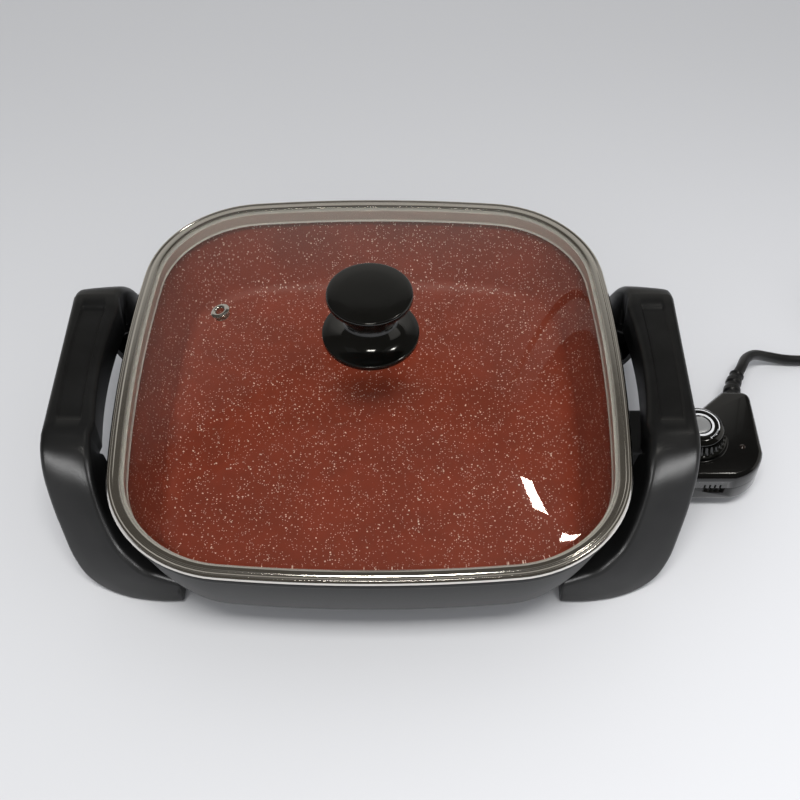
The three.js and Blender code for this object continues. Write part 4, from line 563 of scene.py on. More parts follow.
@dataclass(frozen=True)
class TurnedDisc:
    """A metal disc with rings of the lathe about its own middle."""

    name: str
    centre: Point2
    colour: Colour = (0.66, 0.67, 0.68)
    rings_per_metre: float = 5200.0
    metallic: float = 0.75

    def make(self) -> bpy.types.Material:
        """Builds the material."""
        paint = Paint(self.name)
        x, y, _ = paint.split(paint.place())
        dx, dy = x - self.centre[0], y - self.centre[1]
        far = paint.node("ShaderNodeMath", {"operation": "SQRT"}, {0: dx * dx + dy * dy})
        along = paint.node("ShaderNodeCombineXYZ", None, {0: far})
        rings = paint.noise(along, self.rings_per_metre, 1.0, 0.5)
        return paint.finish(paint.shell(
            Base_Color=paint.blend(rings, tuple(c * 0.82 for c in self.colour), self.colour),
            Metallic=self.metallic,
            Roughness=0.26 + 0.14 * rings,
        ))


@dataclass(frozen=True)
class ClearGlass:
    """Clear tempered glass that lets lamps through."""

    name: str = "lid_glass_clear"
    colour: Colour = (0.93, 0.95, 0.94)
    lamp_tint: Colour = (0.94, 0.95, 0.94)
    index: float = 1.5

    def make(self) -> bpy.types.Material:
        """Builds the material."""
        paint = Paint(self.name)
        glass = paint.shell(
            Base_Color=self.colour, Roughness=0.0, IOR=self.index, Transmission_Weight=1.0,
        )
        passed = paint.node("ShaderNodeBsdfTransparent", None, {"Color": (*self.lamp_tint, 1.0)})
        lamp_ray = paint.node("ShaderNodeLightPath", output="Is Shadow Ray")
        mixed = paint.node("ShaderNodeMixShader", None, {0: lamp_ray, 1: glass, 2: passed})
        return paint.finish(mixed)


@dataclass(frozen=True)
class TintedLens:
    """The pilot lamp's small tinted lens."""

    name: str = "pilot_amber"
    colour: Colour = (0.010, 0.006, 0.005)

    def make(self) -> bpy.types.Material:
        """Builds the material."""
        paint = Paint(self.name)
        cloud = paint.noise(paint.place(), 600.0, 2.0, 0.5)
        return paint.finish(paint.shell(
            Base_Color=paint.blend(cloud, self.colour, tuple(c * 1.6 for c in self.colour)),
            Roughness=0.08,
            Coat_Weight=0.4,
        ))


@dataclass(frozen=True)
class Unglazed:
    """White unglazed ceramic or print."""

    name: str
    colour: Colour
    roughness: float = 0.6

    def make(self) -> bpy.types.Material:
        """Builds the material."""
        paint = Paint(self.name)
        grain = paint.noise(paint.place(), 1800.0, 2.0, 0.6)
        return paint.finish(paint.shell(
            Base_Color=paint.blend(grain, tuple(c * 0.93 for c in self.colour), self.colour),
            Roughness=self.roughness,
            Normal=paint.relief(grain, 0.00003, 0.3),
        ))


class Shelf:
    """Keeps each finish's material so that it is built once."""

    def __init__(self) -> None:
        """Starts empty."""
        self.made: dict[str, bpy.types.Material] = {}

    def get(self, finish: object) -> bpy.types.Material:
        """The material of a finish."""
        name = finish.name
        if name not in self.made:
            self.made[name] = finish.make()
        return self.made[name]


SHELF = Shelf()
COATING_INSIDE = StoneCoating()
COATING_OUTSIDE = CastCoating()
HANDLE_PLASTIC = Moulding(
    "handle_plastic", (0.0030, 0.0030, 0.0030), 0.31, 1700.0, 0.00008, shine=0.30,
)
KNOB_PLASTIC = Moulding("knob_plastic", (0.0012, 0.0013, 0.0010), 0.10, 300.0, 0.00001, coat=0.5)
PROBE_PLASTIC = Moulding("probe_plastic", (0.0018, 0.0018, 0.0018), 0.14, 300.0, 0.00001, coat=0.3)
GUARD_ENAMEL = Moulding("guard_enamel", (0.010, 0.010, 0.010), 0.45, 1200.0, 0.00006)
CORD_RUBBER = Moulding("cord_rubber", (0.007, 0.007, 0.0075), 0.38, 900.0, 0.00006)
PAD_RUBBER = Moulding("pad_rubber", (0.012, 0.012, 0.012), 0.70, 900.0, 0.0001)
TIE_PLASTIC = Moulding("tie_plastic", (0.012, 0.012, 0.012), 0.45, 1500.0, 0.00008)
RIM_STEEL = Metal("rim_steel", (0.84, 0.805, 0.755), 0.09, line_depth=0.000001)
SKIRT_STEEL = Metal("skirt_steel", (0.62, 0.575, 0.52), 0.42, metallic=0.3)
PLAIN_STEEL = Metal("plain_steel", (0.56, 0.55, 0.54), 0.28)
ELEMENT_STEEL = Metal("element_steel", (0.30, 0.29, 0.28), 0.42)
PLAIN_BRASS = Metal("plain_brass", (0.66, 0.47, 0.20), 0.24)
WHITE_PRINT = Unglazed("white_print", (0.80, 0.80, 0.80), 0.45)
CERAMIC = Unglazed("ceramic", (0.78, 0.76, 0.70), 0.65)
SILICONE = Moulding("silicone", (0.020, 0.019, 0.019), 0.55, 900.0, 0.00005)


# Mesh building


def add_object(name: str, data: bpy.types.ID) -> bpy.types.Object:
    """Links a new object with that data into the scene."""
    made = bpy.data.objects.new(name, data)
    bpy.context.scene.collection.objects.link(made)
    return made


def made_mesh(name: str, shape: bmesh.types.BMesh) -> bpy.types.Mesh:
    """Turns a shape into a mesh of that name and frees the shape."""
    mesh = bpy.data.meshes.new(name)
    shape.to_mesh(mesh)
    shape.free()
    return mesh


def smooth(mesh: bpy.types.Mesh, sharp: float) -> None:
    """Shades a mesh smooth, apart from edges that bend by more than sharp degrees."""
    mesh.shade_smooth()
    mesh.set_sharp_from_angle(angle=math.radians(sharp))


class Mould:
    """Builds one mesh from loops of edges, in millimetres of the pan's frame."""

    def __init__(self) -> None:
        """Starts an empty mesh whose corners keep their place along a loop."""
        self.bm = bmesh.new()
        self.order = self.bm.verts.layers.int.new("order")
        self.skin = 0

    def loop(self, points: Sequence[Sequence[float]], closed: bool = True) -> Edges:
        """Starts a loop or chain of edges.

        Args:
            points: Its corners.
            closed: Whether the last joins the first.

        Returns:
            The edges.
        """
        verts = [self.bm.verts.new(p) for p in points]
        for i, vert in enumerate(verts):
            vert[self.order] = i
        ends = verts[1:] + verts[:1] if closed else verts[1:]
        return [self.bm.edges.new(pair) for pair in zip(verts, ends)]

    def follow(self, edges: Edges, points: Sequence[Sequence[float]]) -> Edges:
        """Extrudes a loop to the next one.

        Args:
            edges: The loop so far.
            points: Where its corners go, in the loop's order.

        Returns:
            The edges of the new loop.
        """
        made = bmesh.ops.extrude_edge_only(self.bm, edges=edges)["geom"]
        verts = {item for item in made if isinstance(item, bmesh.types.BMVert)}
        for vert in verts:
            vert.co = points[vert[self.order]]
        for face in {f for vert in verts for f in vert.link_faces}:
            face.material_index = self.skin
        return [e for e in made if isinstance(e, bmesh.types.BMEdge) and set(e.verts) <= verts]

    def loft(self, rings: Rings) -> tuple[Edges, Edges]:
        """Skins a row of closed loops.

        Args:
            rings: The loops' corners, in order.

        Returns:
            The edges of the first and last loop.
        """
        first = self.loop(rings[0])
        last = first
        for ring in rings[1:]:
            last = self.follow(last, ring)
        return first, last

    def fill(self, edges: Edges) -> bmesh.types.BMFace:
        """Closes a loop with one face."""
        face = bmesh.ops.contextual_create(self.bm, geom=edges)["faces"][0]
        face.material_index = self.skin
        return face

    def solid(self, rings: Rings) -> None:
        """Skins a row of closed loops and fills both ends."""
        for end in self.loft(rings):
            self.fill(end)

    def band(self, rings: Rings) -> None:
        """Skins a row of closed loops and joins the last to the first."""
        first, last = self.loft(rings)
        bmesh.ops.bridge_loops(self.bm, edges=first + last)

    def turn(self, profile: Sequence[Point2], steps: int, place: Matrix | None = None) -> None:
        """Spins a profile of radius and height about Z.

        Args:
            profile: The points, from axis to axis or closed on itself.
            steps: Facets in a full turn.
            place: Where the turned body goes.
        """
        edges = self.loop([(r, 0.0, z) for r, z in profile], closed=False)
        verts = list(dict.fromkeys(v for e in edges for v in e.verts))
        bmesh.ops.spin(
            self.bm, geom=verts + edges, cent=(0, 0, 0), axis=(0, 0, 1),
            angle=2 * math.pi, steps=steps, use_merge=True,
        )
        linked = self.reach(verts)
        bmesh.ops.remove_doubles(self.bm, verts=linked, dist=WELD)
        if place is not None:
            bmesh.ops.transform(self.bm, matrix=place, verts=[v for v in linked if v.is_valid])

    def reach(self, seeds: Iterable[bmesh.types.BMVert]) -> list[bmesh.types.BMVert]:
        """Every corner that edges join to the given ones, in the same order each run."""
        seen = dict.fromkeys(seeds)
        queue = list(seen)
        while queue:
            vert = queue.pop()
            for edge in vert.link_edges:
                other = edge.other_vert(vert)
                if other not in seen:
                    seen[other] = None
                    queue.append(other)
        return list(seen)

    def prism(self, outline: Sequence[Point2], low: float, high: float, edge: float = 0.0) -> None:
        """Raises a flat outline into a solid.

        Args:
            outline: Its corners.
            low: Height of its underside.
            high: Height of its top.
            edge: Width of the bevel round its top.
        """
        rings = [[(x, y, z) for x, y in outline] for z in (low, high)]
        first, last = self.loft(rings)
        self.fill(first)
        self.fill(last)
        if edge > 0:
            bmesh.ops.bevel(
                self.bm, geom=last, offset=edge, offset_type="OFFSET", segments=3,
                profile=0.5, affect="EDGES", material=-1, clamp_overlap=True,
            )

    def box(self, low: Sequence[float], high: Sequence[float]) -> None:
        """Adds a block between two corners."""
        size = [b - a for a, b in zip(low, high)]
        middle = [(a + b) / 2 for a, b in zip(low, high)]
        matrix = Matrix.Translation(middle) @ Matrix.Diagonal((*size, 1.0))
        bmesh.ops.create_cube(self.bm, size=1.0, matrix=matrix)

    def move(self, place: Matrix) -> None:
        """Moves the whole mesh by a matrix."""
        bmesh.ops.transform(self.bm, matrix=place, verts=self.bm.verts[:])

    def cast(
        self,
        name: str,
        finishes: Sequence[object],
        turn: float = 0.0,
        sharp: float = 38.0,
        outward: bool = True,
    ) -> bpy.types.Object:
        """Makes the object.

        Args:
            name: Its name.
            finishes: Its finishes, by the faces' skin number.
            turn: Turn about the pan's own Z axis.
            sharp: Edges that bend by more than this, in degrees, stay sharp.
            outward: Whether the faces are turned outwards first.

        Returns:
            The object, in metres of the row frame.
        """
        bmesh.ops.remove_doubles(self.bm, verts=self.bm.verts[:], dist=WELD)
        if outward:
            bmesh.ops.recalc_face_normals(self.bm, faces=self.bm.faces[:])
        self.move(TO_ROW @ Matrix.Rotation(turn, 4, "Z"))
        self.bm.verts.layers.int.remove(self.bm.verts.layers.int["order"])
        mesh = made_mesh(name, self.bm)
        smooth(mesh, sharp)
        for finish in finishes:
            mesh.materials.append(SHELF.get(finish))
        return add_object(name, mesh)


def carve(piece: bpy.types.Object, tools: Sequence[bpy.types.Object]) -> None:
    """Cuts tools out of a piece and removes them.

    Args:
        piece: The piece that is cut.
        tools: Closed solids.
    """
    for tool in tools:
        cutter = piece.modifiers.new("cut", "BOOLEAN")
        cutter.operation = "DIFFERENCE"
        cutter.solver = "EXACT"
        cutter.object = tool
    depsgraph = bpy.context.evaluated_depsgraph_get()
    cut = bpy.data.meshes.new_from_object(piece.evaluated_get(depsgraph))
    piece.modifiers.clear()
    piece.data = cut
    for tool in tools:
        bpy.data.objects.remove(tool)


def join(piece: bpy.types.Object, others: Sequence[bpy.types.Object]) -> None:
    """Adds the shapes of other pieces to a piece and removes them.

    Args:
        piece: The piece that stays.
        others: The pieces that it takes in.
    """
    shape = bmesh.new()
    for one in (piece, *others):
        shape.from_mesh(one.data)
    shape.to_mesh(piece.data)
    shape.free()
    for other in others:
        bpy.data.objects.remove(other)


def settle(piece: bpy.types.Object, body: Body, slot: str, *nodes: str) -> bpy.types.Object:
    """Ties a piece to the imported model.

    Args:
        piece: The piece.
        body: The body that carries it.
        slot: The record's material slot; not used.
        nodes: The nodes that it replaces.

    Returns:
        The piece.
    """
    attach(piece, body.value)
    if nodes:
        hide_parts(*nodes)
    stands_for = ", ".join(nodes) or "no node"
    log.info("%s rides on %s and stands for %s", piece.name, body.value, stands_for)
    return piece


# Sub-assemblies


@dataclass
class PanDish:
    """The cast pan: its dish, with the plain outside, and the coated inside."""

    top: float = 90.4
    base: float = 30.0
    floor: float = 6.0
    wall: float = 3.2
    lip_half: float = 148.0
    lip_height: float = 4.0
    neck_half: float = 145.8
    foot_half: float = 132.0
    foot_fillet: float = 12.0
    inner_fillet: float = 12.0
    draft: float = 20.0
    belly: float = 3.0
    edge: float = 0.9
    under_lift: float = 0.2
    under_cut: float = 1.2
    floor_step: float = 6.0

    def outside(self) -> list[Point2]:
        """The outer section of half width and height, from the foot up to the lip's top edge."""
        fillet_z = self.base + self.foot_fillet
        fillet_half = self.foot_half - self.foot_fillet
        neck_z = self.top - self.lip_height
        foot = arc((fillet_half, fillet_z), self.foot_fillet, -90, -self.draft, 10)
        foot = [(half, max(z, self.base + self.under_lift)) for half, z in foot]
        middle = (self.neck_half - self.belly, (neck_z + fillet_z) / 2)
        wall = bow(foot[-1], middle, (self.neck_half, neck_z), 8)
        lip = eased([
            (self.neck_half, neck_z),
            (self.lip_half, neck_z),
            (self.lip_half, self.top),
            (self.neck_half - self.wall, self.top),
        ], self.edge * 1.3, 3)
        return foot + wall[1:-1] + lip[:-1]

    def inside(self) -> list[Point2]:
        """The inner section, from the lip's top edge down to the floor."""
        fillet_z = self.base + self.floor + self.inner_fillet
        inner_top = self.neck_half - self.wall
        inner_foot = self.foot_half - self.wall
        neck_z = self.top - self.lip_height
        middle_z = (neck_z + self.base + self.foot_fillet) / 2
        fillet = arc(
            (inner_foot - self.inner_fillet, fillet_z), self.inner_fillet, -self.draft, -90, 12,
        )
        middle = (inner_top - self.belly, middle_z)
        wall = bow((inner_top, self.top - self.edge), middle, fillet[0], 8)
        edge = bow((inner_top + self.edge, self.top), (inner_top, self.top), wall[0], 3)
        return edge + wall[1:-1] + fillet

    def build(self) -> None:
        """Makes the dish and the underside."""
        mould = Mould()
        rings = [PLAN.ring(PLAN.half - half, z) for half, z in self.outside()]
        first, edge = mould.loft(rings)
        mould.fill(first)
        mould.skin = 1
        for half, z in self.inside():
            edge = mould.follow(edge, PLAN.ring(PLAN.half - half, z))
        inset = PLAN.half - self.inside()[-1][0] + self.floor_step
        mould.fill(mould.follow(edge, PLAN.ring(inset, self.base + self.floor)))
        dish = mould.cast("pan_dish", [COATING_OUTSIDE, COATING_INSIDE], sharp=60.0)
        settle(dish, Body.PAN, "coating", "pan")
        settle(self.underside(), Body.PAN, "coating")

    def underside(self) -> bpy.types.Object:
        """The ridge, bosses and bores under the pan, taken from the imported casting."""
        source = bpy.data.objects["pan"].data
        under = bmesh.new()
        under.from_mesh(source)
        bmesh.ops.remove_doubles(under, verts=under.verts[:], dist=0.01 * MM)
        bmesh.ops.bisect_plane(
            under, geom=under.verts[:] + under.edges[:] + under.faces[:],
            plane_co=(0.0, 0.0, (self.base + self.under_cut) * MM), plane_no=(0, 0, 1),
            clear_outer=True,
        )
        bmesh.ops.contextual_create(under, geom=[e for e in under.edges if e.is_boundary])
        mesh = made_mesh("pan_underside", under)
        mesh.materials.clear()
        mesh.materials.append(SHELF.get(COATING_OUTSIDE))
        smooth(mesh, 30.0)
        return add_object("pan_underside", mesh)


@dataclass
class Handle:
    """One grip with its two legs and feet, a moulded strap that bends down and turns in."""

    side: Side
    inner_x: float = 160.0
    width: float = 28.0
    top: float = 100.0
    half_length: float = 48.0
    grip_bow: float = 4.0
    edge_inset: float = 2.0
    grip_skirt: float = 24.0
    foot_face_y: float = 105.0
    foot_tip_x: float = 112.0
    foot_height: float = 32.0
    foot_skirt: float = 20.0
    wall: float = 3.0
    round: float = 4.0
    crown: float = 0.7
    clear: float = 1.5
    recess_width: float = 15.0
    recess_half: float = 46.0
    recess_depth: float = 1.4
    recess_slope: float = 3.0
    recess_wall: float = 1.3
    recess_lead: float = 0.6
    hollow_round: float = 2.0
    leg_steps: int = 44
    lug_x: float = 98.0
    lug_y: float = 82.0
    lug_radius: float = 9.0
    lug_top: float = 25.0
    lug_thick: float = 5.0
    rib: float = 2.4
    end_round: float = 0.9
    # Stations that carry a rib, counted from the middle of the grip
    rib_stations = (9, 24)

    # Reach inward, reach along the grip and height of the leg's two edges, as shares
    outer_edge = (
        (0.974, 0.1, 1), (0.975, 0.26, 0.955), (0.97, 0.41, 0.84), (0.943, 0.54, 0.65),
        (0.9, 0.65, 0.44), (0.85, 0.74, 0.24), (0.765, 0.81, 0.1), (0.63, 0.87, 0.02),
        (0.44, 0.95, 0), (0.2, 1, 0), (0, 1, 0),
    )
    inner_edge = (
        (0.6, 0.1, 1), (0.59, 0.3, 0.94), (0.565, 0.5, 0.78), (0.535, 0.65, 0.56),
        (0.49, 0.77, 0.36), (0.43, 0.86, 0.2), (0.35, 0.93, 0.1), (0.27, 0.98, 0.02),
        (0.19, 1, -0.02), (0.1, 1, -0.07), (0, 1, -0.13),
    )

    def edge(self, shares: Sequence[tuple[float, float, float]], lowest: float) -> Route:
        """One edge of the leg as a curve."""
        reach = self.inner_x + self.width - self.foot_tip_x
        forward = self.foot_face_y - self.half_length
        rise = self.top - lowest
        return Route(
            (self.foot_tip_x + reach * a, self.half_length + forward * b, lowest + rise * c)
            for a, b, c in shares
        )

    def half(self) -> list[dict[str, object]]:
        """Stations from the middle of the grip to the rear foot's tip."""
        slope_start = self.recess_half - self.recess_slope
        grip = [8.0 * i for i in range(5)]
        grip += [slope_start - 2.0, slope_start, slope_start + 1.5, self.recess_half]
        made = []
        for y in grip:
            in_by = self.grip_bow * (y / self.half_length) ** 2
            depth = self.recess_depth * (1 - smoothstep(y, slope_start, self.recess_half))
            made.append({
                "outer": Vector((self.inner_x + self.width - self.edge_inset, y, self.top)),
                "inner": Vector((self.inner_x - in_by, y, self.top)),
                "recess": depth,
                "skirt": self.grip_skirt,
            })
        outer = self.edge(self.outer_edge, 0.0)
        inner = self.edge(self.inner_edge, self.foot_height)
        for i in range(self.leg_steps + 1):
            share = i / self.leg_steps
            made.append({
                "outer": outer.at(share),
                "inner": inner.at(share),
                "recess": 0.0,
                "skirt": self.grip_skirt + (self.foot_skirt - self.grip_skirt) * share,
            })
        return made

    def stations(self) -> list[dict[str, object]]:
        """Every station, from the front foot's tip to the rear one's, each with its own axes."""
        rear = self.half()
        flip = Vector((1, -1, 1))
        front = [
            {**s, "outer": s["outer"] * flip, "inner": s["inner"] * flip}
            for s in reversed(rear[1:])
        ]
        row = front + rear
        middles = [(s["outer"] + s["inner"]) / 2 for s in row]
        for i, station in enumerate(row):
            along = (middles[min(i + 1, len(row) - 1)] - middles[max(i - 1, 0)]).normalized()
            across = station["outer"] - station["inner"]
            station["width"] = across.length
            station["along"] = along
            station["across"] = across.normalized()
            station["face"] = station["across"].cross(along).normalized()
        return row

    def strap(self, station: dict[str, object]) -> list[Point2]:
        """The strap's outer section, from one skirt's edge over the face to the other's."""
        width, skirt, recess = station["width"], station["skirt"], station["recess"]
        start = (width - self.recess_width) / 2
        lead, slope = self.recess_lead, self.recess_wall
        shoulder = [(0.0, -skirt), (0.0, -(skirt + self.round) / 2)]
        shoulder += arc((self.round, -self.round), self.round, 180, 90, 6)

        def crown(x: float) -> float:
            return 4 * self.crown * x * (width - x) / (width * width)

        half = [(x, y + crown(x)) for x, y in shoulder]
        for x in (start - lead, start, start + slope / 2, start + slope, start + slope + lead):
            half.append((x, crown(x) - recess * smoothstep(x, start, start + slope)))
        far = [(width - x, y) for x, y in reversed(half)]
        return half + [(width / 2, crown(width / 2) - recess)] + far

    def hollow(self, station: dict[str, object]) -> list[Point2]:
        """The strap's inner section, from the far skirt's edge back to the near one's."""
        width, skirt, wall = station["width"], station["skirt"], self.wall
        corner = arc(
            (wall + self.hollow_round, -wall - self.hollow_round), self.hollow_round, 180, 90, 4,
        )
        half = [(wall, -skirt), *corner, (width / 2, -wall)]
        far = [(width - x, y) for x, y in reversed(half[:-1])]
        return list(reversed(half + far))

    def set_in(
        self, section: Sequence[Point2], station: dict[str, object], shift: float = 0.0,
    ) -> list[Vector]:
        """A section's points in space at a station, moved along it by the shift."""
        return [
            station["inner"] + station["across"] * x + station["face"] * y
            + station["along"] * shift
            for x, y in section
        ]

    def build(self) -> None:
        """Makes the handle."""
        row = self.stations()
        mould = Mould()
        sections = [self.strap(s) + self.hollow(s) for s in row]
        shifts = [self.end_round] + [0.0] * (len(row) - 2) + [-self.end_round]
        mould.solid([self.set_in(*pair) for pair in zip(sections, row, shifts)])
        self.add_end(mould, row[0], 1)
        self.add_end(mould, row[-1], -1)
        for vert in mould.bm.verts:
            vert.co.z = max(vert.co.z, self.clear)
        middle = (len(row) - 1) // 2
        for offset in self.rib_stations:
            for station in (row[middle - offset], row[middle + offset]):
                self.add_rib(mould, station)
        for end in (-1, 1):
            self.add_lug(mould, end)
        name = f"handle_{self.side.name.lower()}"
        piece = mould.cast(
            f"{name}_moulding", [HANDLE_PLASTIC], turn=self.side.value, sharp=42.0, outward=False,
        )
        settle(piece, Body.PAN, "handle_plastic", name)

    def add_rib(self, mould: Mould, station: dict[str, object]) -> None:
        """Adds one rib across the inside of the strap."""
        half = self.wall / 2
        width, depth = station["width"], station["skirt"] - self.wall / 2
        core = [(half, -half), (width - half, -half), (width - half, -depth), (half, -depth)]
        mould.solid([self.set_in(core, station, s) for s in (-self.rib / 2, self.rib / 2)])

    def add_end(self, mould: Mould, station: dict[str, object], way: int) -> None:
        """Closes the strap at a foot's tip with a plate whose edge is rounded."""
        outline = self.strap(station)
        middle_x, middle_y = station["width"] / 2, -station["skirt"] / 2

        def shrunk(by: float) -> list[Point2]:
            wide, high = 1 - by / middle_x, 1 + by / middle_y
            return [
                ((x - middle_x) * wide + middle_x, (y - middle_y) * high + middle_y)
                for x, y in outline
            ]

        edge = self.end_round
        rows = ((edge, 0.0), (edge * 0.3, edge * 0.3), (0.0, edge), (0.0, self.wall))
        mould.solid([self.set_in(shrunk(by), station, way * shift) for by, shift in rows])

    def add_lug(self, mould: Mould, end: int) -> None:
        """Adds the lug that the pan's boss is screwed to."""
        far_y = self.foot_face_y - self.lug_radius - self.wall / 2
        far = (self.foot_tip_x + self.lug_radius, end * far_y)
        near = (self.lug_x, end * self.lug_y)
        angle = math.degrees(math.atan2(far[1] - near[1], far[0] - near[0]))
        outline = arc(far, self.lug_radius, angle - 90, angle + 90, 10)
        outline += arc(near, self.lug_radius, angle + 90, angle + 270, 10)
        heights = (self.lug_top - self.lug_thick, self.lug_top)
        mould.solid([[(x, y, z) for x, y in outline] for z in heights])


@dataclass
class Lid:
    """The lid's rolled steel rim, its domed glass, the vent and the knob."""

    leaf: float = 0.5
    cover: float = 8.0
    hem: float = 2.4
    inner: float = 10.0
    drop: float = 8.3
    curl: float = 1.0
    glass_thick: float = 3.2
    glass_inset: float = 3.2
    dome_rise: float = 27.0
    dome_power: float = 1.15
    crown_share: float = 0.2
    dome_steps: int = 26
    vent: Point2 = (-91.0, 31.0)
    vent_bore: float = 2.6
    vent_wall: float = 0.7
    vent_lip: float = 4.7
    vent_flange: float = 5.85
    vent_rise: float = 1.5
    edge_round: float = 0.6
    flat: float = 3.0
    # The rim's top: steps in from the cover's end and down from the highest line
    cover_steps = (
        (0.5, 0.2), (1.2, 0.03), (2.0, 0.0), (3.4, 0.0), (4.0, 0.3), (4.3, 0.38), (4.9, 0.38),
        (5.3, 0.3), (5.7, 0.05),
    )
    # The rim's rolled edge: inset and drop from the highest line
    rolled_edge = (
        (1.7, 0.02), (1.25, 0.12), (1.0, 0.45), (0.45, 1.2), (0.1, 2.0), (0.0, 2.6), (0.4, 2.8),
        (2.4, 2.8),
    )

    @property
    def glass_base(self) -> float:
        """Height of the glass's underside at its edge."""
        return LID_SEAT_Z + self.leaf + SEAT

    def rise(self, share: float) -> float:
        """How far the dome has risen at a share of its half width."""
        return self.dome_rise * max(0.0, 1 - share * share) ** self.dome_power

    def build(self) -> None:
        """Makes the lid's pieces."""
        self.build_rim()
        self.build_glass()
        self.build_vent()
        Knob(self.glass_base + self.rise(self.crown_share)).build(self.glass_thick)

    def build_rim(self) -> None:
        """Makes the rolled band."""
        top = self.leaf + SEAT + self.glass_thick + SEAT
        high = top + self.leaf
        section = eased([
            (self.cover, top),
            (self.cover - 0.05, top + 0.1),
            *((self.cover - back, high - down) for back, down in self.cover_steps),
            *((inset, high - down) for inset, down in self.rolled_edge),
            (self.hem, self.leaf / 2),
            (self.hem + self.leaf / 2, 0.0),
            (self.inner - self.leaf, 0.0),
            (self.inner - self.leaf, self.curl - self.drop),
            (self.inner - self.leaf + self.curl, -self.drop),
            (self.inner + self.curl, -self.drop),
            (self.inner, self.curl - self.drop),
            (self.inner, self.leaf),
            (self.glass_inset - SEAT, self.leaf),
            (self.glass_inset - SEAT, top),
        ], 0.3, 5, closed=True)
        mould = Mould()
        mould.band([PLAN.ring(inset, LID_SEAT_Z + z) for inset, z in section])
        for face in mould.bm.faces:
            if face.calc_center_median().z < LID_SEAT_Z + self.leaf:
                face.material_index = 1
        rim = mould.cast("lid_rim_band", [RIM_STEEL, SKIRT_STEEL], sharp=60.0)
        settle(rim, Body.LID, "rim_steel", "lid_rim")

    def build_glass(self) -> None:
        """Makes the dome of glass, its two faces joined round the edge."""
        span = 1 - self.crown_share
        shares = [1 - span * i / self.dome_steps for i in range(self.dome_steps + 1)]
        shares = [1 - (1 - s) ** 1.3 / span ** 0.3 for s in shares]
        edge, thick = self.edge_round, self.glass_thick
        mould = Mould()
        rings = []
        for low in (True, False):
            base = self.glass_base + (0.0 if low else thick)
            insets = (self.glass_inset + edge, self.inner - self.flat)
            face = [PLAN.ring(inset, base) for inset in insets]
            face += [PLAN.ring(self.inner, base + self.rise(s), s) for s in shares]
            if low:
                rings += reversed(face)
                rings += [PLAN.ring(self.glass_inset, base + up) for up in (edge, thick - edge)]
            else:
                rings += face
        mould.solid(rings)
        dome = mould.cast("lid_glass_dome", [ClearGlass()], sharp=60.0)
        settle(dome, Body.LID, "glass", "lid_glass")

    def on_dome(self, x: float, y: float) -> Matrix:
        """A frame on the dome's outer face whose Z leaves the glass."""
        def height(dx: float, dy: float) -> float:
            return self.rise(PLAN.share_at(x + dx, y + dy, self.inner))
        reach = self.vent_flange
        slope_x = (height(reach, 0) - height(-reach, 0)) / (2 * reach)
        slope_y = (height(0, reach) - height(0, -reach)) / (2 * reach)
        normal = Vector((-slope_x, -slope_y, 1)).normalized()
        turn = Vector((0, 0, 1)).rotation_difference(normal).to_matrix().to_4x4()
        return Matrix.Translation((x, y, self.glass_base + self.glass_thick + height(0, 0))) @ turn

    def build_vent(self) -> None:
        """Makes the vent's rolled eyelet."""
        outer = self.vent_bore + self.vent_wall
        top = 2 * SEAT
        under = -self.glass_thick - 2 * SEAT
        step = self.vent_rise / 2
        profile = eased([
            (self.vent_bore, under - step),
            (self.vent_lip, under - step),
            (self.vent_lip, under),
            (outer, under),
            (outer, top),
            (self.vent_flange, top),
            (self.vent_flange, top + step),
            (self.vent_lip - 0.4, top + self.vent_rise),
            (outer, top + self.vent_rise),
            (self.vent_bore, top + step),
        ], 0.5, 3, closed=True)
        mould = Mould()
        mould.turn(profile + profile[:1], 48, self.on_dome(*self.vent))
        ring = mould.cast("vent_ring", [RIM_STEEL], sharp=60.0)
        settle(ring, Body.LID, "rim_steel", "vent_eyelet")


@dataclass
class Knob:
    """The lid's spool-shaped knob."""

    glass_under: float
    height: float = 34.8
    top_radius: float = 24.5
    base_radius: float = 28.0
    waist_radius: float = 11.5
    waist_height: float = 19.0
    top_edge: float = 3.4
    base_edge: float = 3.2
    crown: float = 0.8
    gasket: float = 1.4
    bore: float = 4.3
    bore_depth: float = 16.6
    # The nearly flat top: radius and drop from the height
    top_face = ((0.0, 0.1), (8.0, 0.1), (16.0, 0.16))

    def build(self, glass_thick: float) -> None:
        """Makes the knob on a glass of that thickness."""
        base = self.glass_under + glass_thick + self.gasket + 2 * SEAT
        crown = self.height - self.crown
        under_top = bow(
            (self.top_radius - self.crown, crown - self.top_edge),
            (self.waist_radius, (crown + self.waist_height) / 2 + self.top_edge),
            (self.waist_radius, self.waist_height), 14,
        )
        over_base = bow(
            (self.waist_radius, self.waist_height),
            (self.waist_radius, self.base_edge + self.crown),
            (self.base_radius - self.crown, self.base_edge), 14,
        )
        edge = eased([
            (self.top_radius - 3.0, self.height - 0.35),
            (self.top_radius - 0.2, self.height - 0.7),
            (self.top_radius, crown - self.top_edge + 0.4),
            under_top[0],
        ], 1.2, 5)
        foot = eased([
            over_base[-1],
            (self.base_radius, self.base_edge - 0.3),
            (self.base_radius, 0.0),
            (self.base_radius - 1.6, 0.0),
        ], 0.8, 4)
        profile = [(radius, self.height - drop) for radius, drop in self.top_face]
        profile += edge + under_top[1:] + over_base[1:-1] + foot
        profile += [(self.bore, 0.0), (self.bore, self.bore_depth), (0.0, self.bore_depth)]
        mould = Mould()
        mould.turn(profile, 96, Matrix.Translation((0, 0, base)))
        spool = mould.cast("knob_spool", [KNOB_PLASTIC], sharp=50.0)
        settle(spool, Body.LID, "knob_plastic", "lid_knob")
        spool.visible_shadow = False


